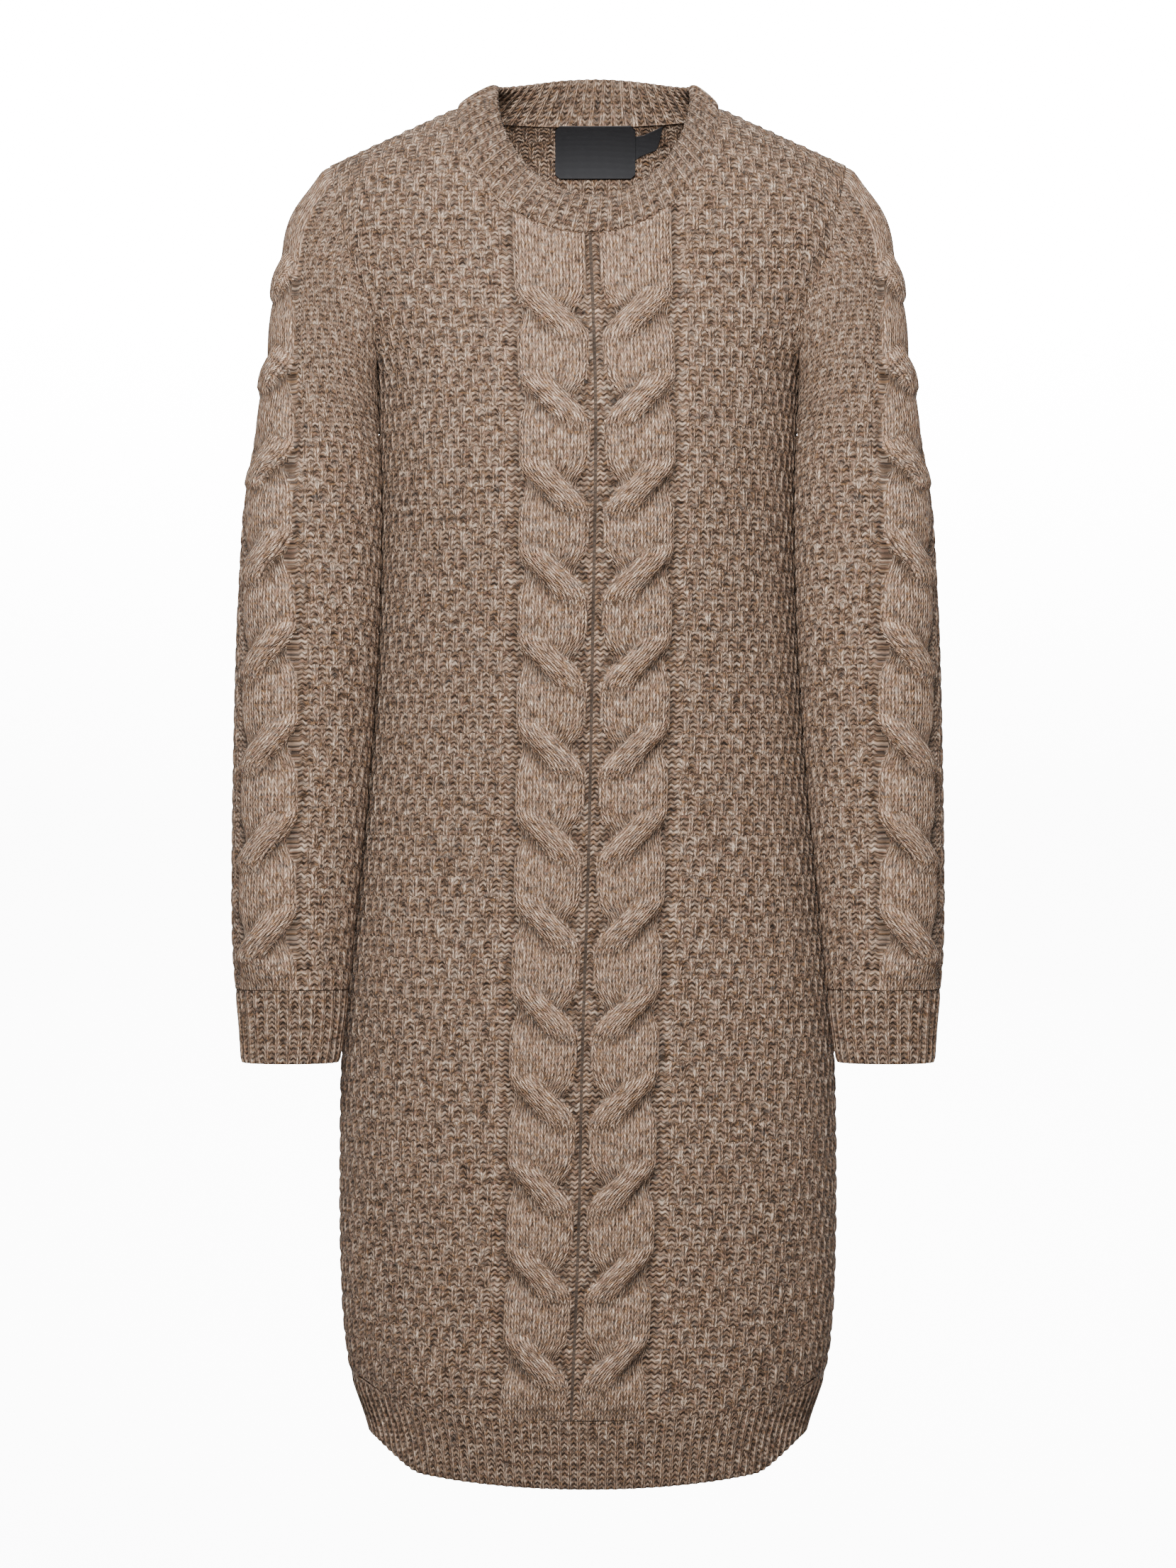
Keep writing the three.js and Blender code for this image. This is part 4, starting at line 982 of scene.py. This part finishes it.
def noise(tree, vector, scale, detail, roughness=0.6):
    made = node(tree, "ShaderNodeTexNoise", -600, 500)
    made.inputs["Scale"].default_value = scale
    made.inputs["Detail"].default_value = detail
    made.inputs["Roughness"].default_value = roughness
    tree.links.new(vector, made.inputs["Vector"])
    return made.outputs


def vector3(tree, x, y, z=0.0):
    made = node(tree, "ShaderNodeCombineXYZ", -800, 200)
    for socket, value in zip(made.inputs, (x, y, z)):
        feed(tree, socket, value)
    return made.outputs[0]


def spread(tree, value, low, high):
    made = node(tree, "ShaderNodeMapRange", -400, 700)
    made.inputs["From Min"].default_value = low
    made.inputs["From Max"].default_value = high
    tree.links.new(value, made.inputs["Value"])
    return made.outputs[0]


# Yarn colours, and the strength of the painted shade and light: gapShade darkens the gaps between yarn
# legs, hollowShade the hollows, ridgeLight lightens the ridges, panelShade darkens the knitted bars
wool = dict(darkest=(0.03, 0.017, 0.011, 1), dark=(0.115, 0.067, 0.041, 1),
            middle=(0.285, 0.18, 0.12, 1), light=(0.51, 0.355, 0.255, 1),
            lightest=(0.78, 0.61, 0.47, 1), ochre=(0.38, 0.2, 0.085, 1),
            grey=(0.17, 0.15, 0.138, 1), rose=(0.39, 0.215, 0.15, 1),
            bumpDepth=0.0014, gapShade=0.2, hollowShade=0.54, ridgeLight=0.14,
            panelShade=0.17, streak=1.8, cloud=1.1, cableCloudLess=0.6,
            hueShares=dict(ochre=0.55, grey=0.5, rose=0.5), fuzzShare=0.5)


# The tone darkens the whole material as painted shade
def knitMaterial(name, shadedTone=1.0):
    material = bpy.data.materials.new(name)
    material.use_nodes = True
    tree = material.node_tree
    tree.nodes.clear()
    out = node(tree, "ShaderNodeOutputMaterial", 900, 0)
    shader = node(tree, "ShaderNodeBsdfPrincipled", 600, 0)
    tree.links.new(shader.outputs[0], out.inputs[0])
    uv = node(tree, "ShaderNodeUVMap", -1400, 0, uv_map="UVMap")
    split = node(tree, "ShaderNodeSeparateXYZ", -1200, 0)
    tree.links.new(uv.outputs[0], split.inputs[0])
    u, v = split.outputs[0], split.outputs[1]
    kind = node(tree, "ShaderNodeAttribute", -1400, -300, attribute_name="kind").outputs["Fac"]
    coords = node(tree, "ShaderNodeTexCoord", -1400, 300).outputs["Object"]

    def do(operation, a, b=None, c=None):
        return math2(tree, operation, a, b, c)

    def isKind(shown):
        return do("COMPARE", kind, float(kindOf[shown]), 0.25)

    # Knit or purl: bars change over every few courses, ribs never do
    block = do("MULTIPLY", do("FLOOR", do("DIVIDE", v, float(knit["barCourses"]))), isKind("bars"))
    odd = do("ABSOLUTE", do("MODULO", do("ADD", do("FLOOR", u), block), 2.0))
    odd = do("COMPARE", odd, 1.0, 0.3)
    bars = do("MULTIPLY", do("SUBTRACT", 1.0, odd), do("MAXIMUM", isKind("bars"), isKind("rib")))
    knitShare = do("MAXIMUM", bars, isKind("cable"))
    purlShare = do("SUBTRACT", 1.0, knitShare)

    # Knit stitch: two steep legs that meet in a V
    wander = noise(tree, coords, 230.0, 1.0)["Fac"]
    wander = do("MULTIPLY", do("SUBTRACT", wander, 0.5), 0.35)
    fu = do("SUBTRACT", do("FRACT", do("ADD", u, do("MULTIPLY", wander, 0.5))), 0.5)
    leg = do("MULTIPLY", do("ABSOLUTE", fu), 2.0)
    slant = do("ADD", do("SUBTRACT", v, do("MULTIPLY", leg, 1.15)), wander)
    legWave = do("SINE", do("MULTIPLY", do("FRACT", slant), math.pi))
    legRound = do("SINE", do("MULTIPLY", leg, math.pi))
    knitHeight = do("MULTIPLY", do("POWER", legRound, 0.45),
                    do("ADD", 0.5, do("MULTIPLY", legWave, 0.5)))

    # Purl stitch: an arch across the wale on every course
    arch = do("MULTIPLY", do("COSINE", do("MULTIPLY", fu, 2 * math.pi)), 0.2)
    archV = do("ADD", do("SUBTRACT", v, arch), wander)
    archWave = do("SINE", do("MULTIPLY", do("FRACT", archV), math.pi))
    purlHeight = do("MULTIPLY", do("POWER", archWave, 0.8), 0.62)
    stitch = do("ADD", do("MULTIPLY", knitHeight, knitShare),
                do("MULTIPLY", purlHeight, purlShare))

    # Heather: streaks that run along the yarn, and slower changes along the course
    legStreak = noise(tree, vector3(tree, do("MULTIPLY", u, 2.6),
                                    do("MULTIPLY", slant, 0.55)), 1.0, 3.0, 0.7)
    purlStreak = noise(tree, vector3(tree, do("MULTIPLY", u, 0.9),
                                     do("MULTIPLY", archV, 1.6), 7.0), 1.0, 3.0, 0.7)
    streak = do("ADD", do("MULTIPLY", legStreak["Fac"], knitShare),
                do("MULTIPLY", purlStreak["Fac"], purlShare))
    cloud = noise(tree, vector3(tree, do("MULTIPLY", u, 0.42),
                                do("MULTIPLY", v, 0.75), 3.0), 1.0, 2.0, 0.65)
    cloudShare = do("SUBTRACT", wool["cloud"],
                    do("MULTIPLY", isKind("cable"), wool["cableCloudLess"]))
    value = do("ADD", do("MULTIPLY", do("SUBTRACT", streak, 0.5), wool["streak"]),
               do("MULTIPLY", do("SUBTRACT", cloud["Fac"], 0.5), cloudShare))
    value = do("ADD", value, 0.5)
    color = ramp(tree, value, [
        (0.12, wool["darkest"]), (0.33, wool["dark"]), (0.5, wool["middle"]),
        (0.66, wool["light"]), (0.85, wool["lightest"])])
    hues = node(tree, "ShaderNodeSeparateColor", -700, 900)
    tree.links.new(noise(tree, vector3(tree, do("MULTIPLY", u, 1.1),
                                       do("MULTIPLY", v, 1.4), 11.0), 1.0, 1.0)["Color"],
                   hues.inputs[0])
    for channel, (fleck, most) in enumerate(wool["hueShares"].items()):
        share = do("MULTIPLY", spread(tree, hues.outputs[channel], 0.54, 0.7), most)
        color = mixColor(tree, share, color, wool[fleck])
    fuzz = noise(tree, coords, 1900.0, 3.0, 0.7)["Fac"]
    color = mixColor(tree, do("MULTIPLY", spread(tree, fuzz, 0.58, 0.8), wool["fuzzShare"]), color,
                     wool["lightest"])
    # Painted shade: colour darker where the stitch height is low, in the gaps between the yarn legs
    deep = do("ADD", wool["gapShade"], do("MULTIPLY", stitch, 1.12 - wool["gapShade"]))
    # Painted shade in the hollows of the relief and painted light on its ridges
    hollow = node(tree, "ShaderNodeAttribute", -1400, -500, attribute_name="hollow")
    sink = do("MAXIMUM", hollow.outputs["Fac"], 0.0)
    lift = do("MAXIMUM", do("MULTIPLY", hollow.outputs["Fac"], -1.0), 0.0)
    sinkShade = do("MULTIPLY_ADD", isKind("bars"), -0.02, wool["hollowShade"])
    relief = do("ADD", do("SUBTRACT", 1.0, do("MULTIPLY", sink, sinkShade)),
                do("MULTIPLY", lift, wool["ridgeLight"]))
    # Painted shade: the knitted bars darker than the cables, and the whole material darker by its
    # shaded tone
    paintedShadeTone = do("SUBTRACT", shadedTone, do("MULTIPLY", isKind("bars"), wool["panelShade"]))
    deep = do("MULTIPLY", do("MULTIPLY", deep, relief), paintedShadeTone)
    shade = node(tree, "ShaderNodeCombineColor", 100, 300)
    for socket in shade.inputs[:3]:
        tree.links.new(deep, socket)
    color = mixColor(tree, 1.0, color, shade.outputs[0], "MULTIPLY")
    tree.links.new(color, shader.inputs["Base Color"])

    bump = node(tree, "ShaderNodeBump", 300, -300)
    bump.inputs["Strength"].default_value = 1.0
    bump.inputs["Distance"].default_value = wool["bumpDepth"]
    height = do("ADD", stitch, do("MULTIPLY", fuzz, 0.35))
    tree.links.new(height, bump.inputs["Height"])
    tree.links.new(bump.outputs[0], shader.inputs["Normal"])
    shader.inputs["Roughness"].default_value = 0.95
    shader.inputs["Specular IOR Level"].default_value = 0.15
    shader.inputs["Sheen Weight"].default_value = 0.05
    shader.inputs["Sheen Roughness"].default_value = 0.5
    shader.inputs["Sheen Tint"].default_value = (0.8, 0.72, 0.64, 1)
    return material


def labelMaterial():
    material = bpy.data.materials.new("woven_black")
    material.use_nodes = True
    tree = material.node_tree
    shader = tree.nodes["Principled BSDF"]
    coords = node(tree, "ShaderNodeTexCoord", -900, 0)
    waves = []
    for direction in ("X", "Z"):
        wave = node(tree, "ShaderNodeTexWave", -600, 0)
        wave.bands_direction = direction
        wave.inputs["Scale"].default_value = 620.0
        tree.links.new(coords.outputs["Object"], wave.inputs["Vector"])
        waves.append(wave.outputs["Fac"])
    weave = math2(tree, "MULTIPLY", waves[0], waves[1])
    color = mixColor(tree, weave, (0.012, 0.012, 0.014, 1), (0.03, 0.03, 0.033, 1))
    tree.links.new(color, shader.inputs["Base Color"])
    bump = node(tree, "ShaderNodeBump", -200, -200)
    bump.inputs["Distance"].default_value = 0.0002
    bump.inputs["Strength"].default_value = 0.6
    tree.links.new(weave, bump.inputs["Height"])
    tree.links.new(bump.outputs[0], shader.inputs["Normal"])
    shader.inputs["Roughness"].default_value = 0.62
    return material


def plainMaterial(name, color, roughness):
    material = bpy.data.materials.new(name)
    material.use_nodes = True
    shader = material.node_tree.nodes["Principled BSDF"]
    shader.inputs["Base Color"].default_value = color
    shader.inputs["Roughness"].default_value = roughness
    return material


camera = dict(distance=3.4, height=-0.4484, frameHeight=1.0396, sensor=36.0)


# Camera at the photograph's place
def addCamera():
    data = bpy.data.cameras.new("photo_view")
    data.sensor_fit = "VERTICAL"
    data.sensor_height = camera["sensor"]
    data.lens = camera["sensor"] * camera["distance"] / camera["frameHeight"]
    obj = bpy.data.objects.new("photo_view", data)
    obj.location = (0, -camera["distance"], camera["height"])
    obj.rotation_euler = (math.pi / 2, 0, 0)
    bpy.context.scene.collection.objects.link(obj)
    bpy.context.scene.camera = obj


# Studio lights: size in metres, power, place, and the spot that each looks at
lights = [
    dict(name="front_top", size=(0.9, 0.7), power=134, place=(-0.25, -2.1, 1.0), target=(0, 0, -0.3)),
    dict(name="front_low", size=(0.8, 1.0), power=76, place=(0.15, -3.0, 0.85), target=(0, 0, -0.2)),
    dict(name="back_soft", size=(1.0, 1.6), power=75, place=(0.3, 2.3, 0.3), target=(0, 0, -0.45)),
    dict(name="backdrop_wash", size=(5.0, 1.0), power=1500, place=(0, 0.85, 1.1), target=(0, 2.6, 0.2)),
]
worldLight = 0.16


def addLight(name, size, power, place, target):
    data = bpy.data.lights.new(name, "AREA")
    data.shape = "RECTANGLE"
    data.size, data.size_y = size
    data.energy = power
    obj = bpy.data.objects.new(name, data)
    obj.location = place
    away = np.array(target) - np.array(place)
    pitch = math.atan2(math.hypot(away[0], away[1]), -away[2])
    obj.rotation_euler = (pitch, 0, math.atan2(away[1], away[0]) - math.pi / 2)
    bpy.context.scene.collection.objects.link(obj)


# Pale sweep: a floor that curves up into a backdrop
def addSweep():
    floorZ, wallY, bend, half = -1.38, 2.6, 0.9, 7.0
    line = [(-6.0, floorZ), (wallY - bend, floorZ)]
    line += [(wallY - bend + bend * math.sin(t), floorZ + bend * (1 - math.cos(t)))
             for t in np.linspace(0, math.pi / 2, 17)[1:]]
    line += [(wallY, 4.0)]
    bm = bmesh.new()
    verts = [[bm.verts.new((x, y, z)) for y, z in line] for x in (-half, half)]
    for k in range(len(line) - 1):
        bm.faces.new((verts[0][k], verts[1][k], verts[1][k + 1], verts[0][k + 1]))
    mesh = bpy.data.meshes.new("floor_sweep")
    bm.to_mesh(mesh)
    bm.free()
    for polygon in mesh.polygons:
        polygon.use_smooth = True
    obj = bpy.data.objects.new("floor_sweep", mesh)
    pale = plainMaterial("pale_floor", (0.9, 0.9, 0.9, 1), 0.9)
    tree = pale.node_tree
    out, shader = tree.nodes["Material Output"], tree.nodes["Principled BSDF"]
    clear = node(tree, "ShaderNodeBsdfTransparent", 0, -300)
    oneSided = node(tree, "ShaderNodeMixShader", 300, 0)
    tree.links.new(node(tree, "ShaderNodeNewGeometry", 0, 300).outputs["Backfacing"],
                   oneSided.inputs[0])
    tree.links.new(shader.outputs[0], oneSided.inputs[1])
    tree.links.new(clear.outputs[0], oneSided.inputs[2])
    tree.links.new(oneSided.outputs[0], out.inputs[0])
    obj.data.materials.append(pale)
    bpy.context.scene.collection.objects.link(obj)
    obj.visible_diffuse = False


addCamera()
addSweep()
for light in lights:
    addLight(**light)
world = bpy.data.worlds.new("studio")
bpy.context.scene.world = world
world.use_nodes = True
world.node_tree.nodes["Background"].inputs[0].default_value = (1, 1, 1, 1)
world.node_tree.nodes["Background"].inputs[1].default_value = worldLight

panelWool = knitMaterial("heather_knit")
# The rib material is a darker copy of the knit, with painted shade
ribWool = knitMaterial("heather_rib", 0.8)
black = labelMaterial()


def dress(obj, material, node):
    obj.data.materials.clear()
    obj.data.materials.append(material)
    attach(obj, "root")
    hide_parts(node)
    print(f"{obj.name}: {len(obj.data.polygons)} faces")


say("materials ready")
dress(panel("front_knit", -1), panelWool, "front")
say("front made")
dress(panel("back_knit", 1), panelWool, "back")
say("back made")
dress(sleeve("sleeve_left_knit", 1), panelWool, "sleeve_left")
dress(sleeve("sleeve_right_knit", -1), panelWool, "sleeve_right")
say("sleeves made")
dress(hemRib("hem_front_knit", -1), ribWool, "hem_rib_front")
dress(hemRib("hem_back_knit", 1), ribWool, "hem_rib_back")
dress(cuffTube("cuff_left_knit", 1), ribWool, "cuff_left")
dress(cuffTube("cuff_right_knit", -1), ribWool, "cuff_right")
dress(collarTube(), ribWool, "neck_collar")
dress(plate("label_woven", labelSpots(), label["clear"], label["thick"]), black,
      "neck_label")
dress(plate("tab_woven", tabSpots(), tab["clear"], tab["thick"]), black,
      "size_tab")
say("all pieces made")
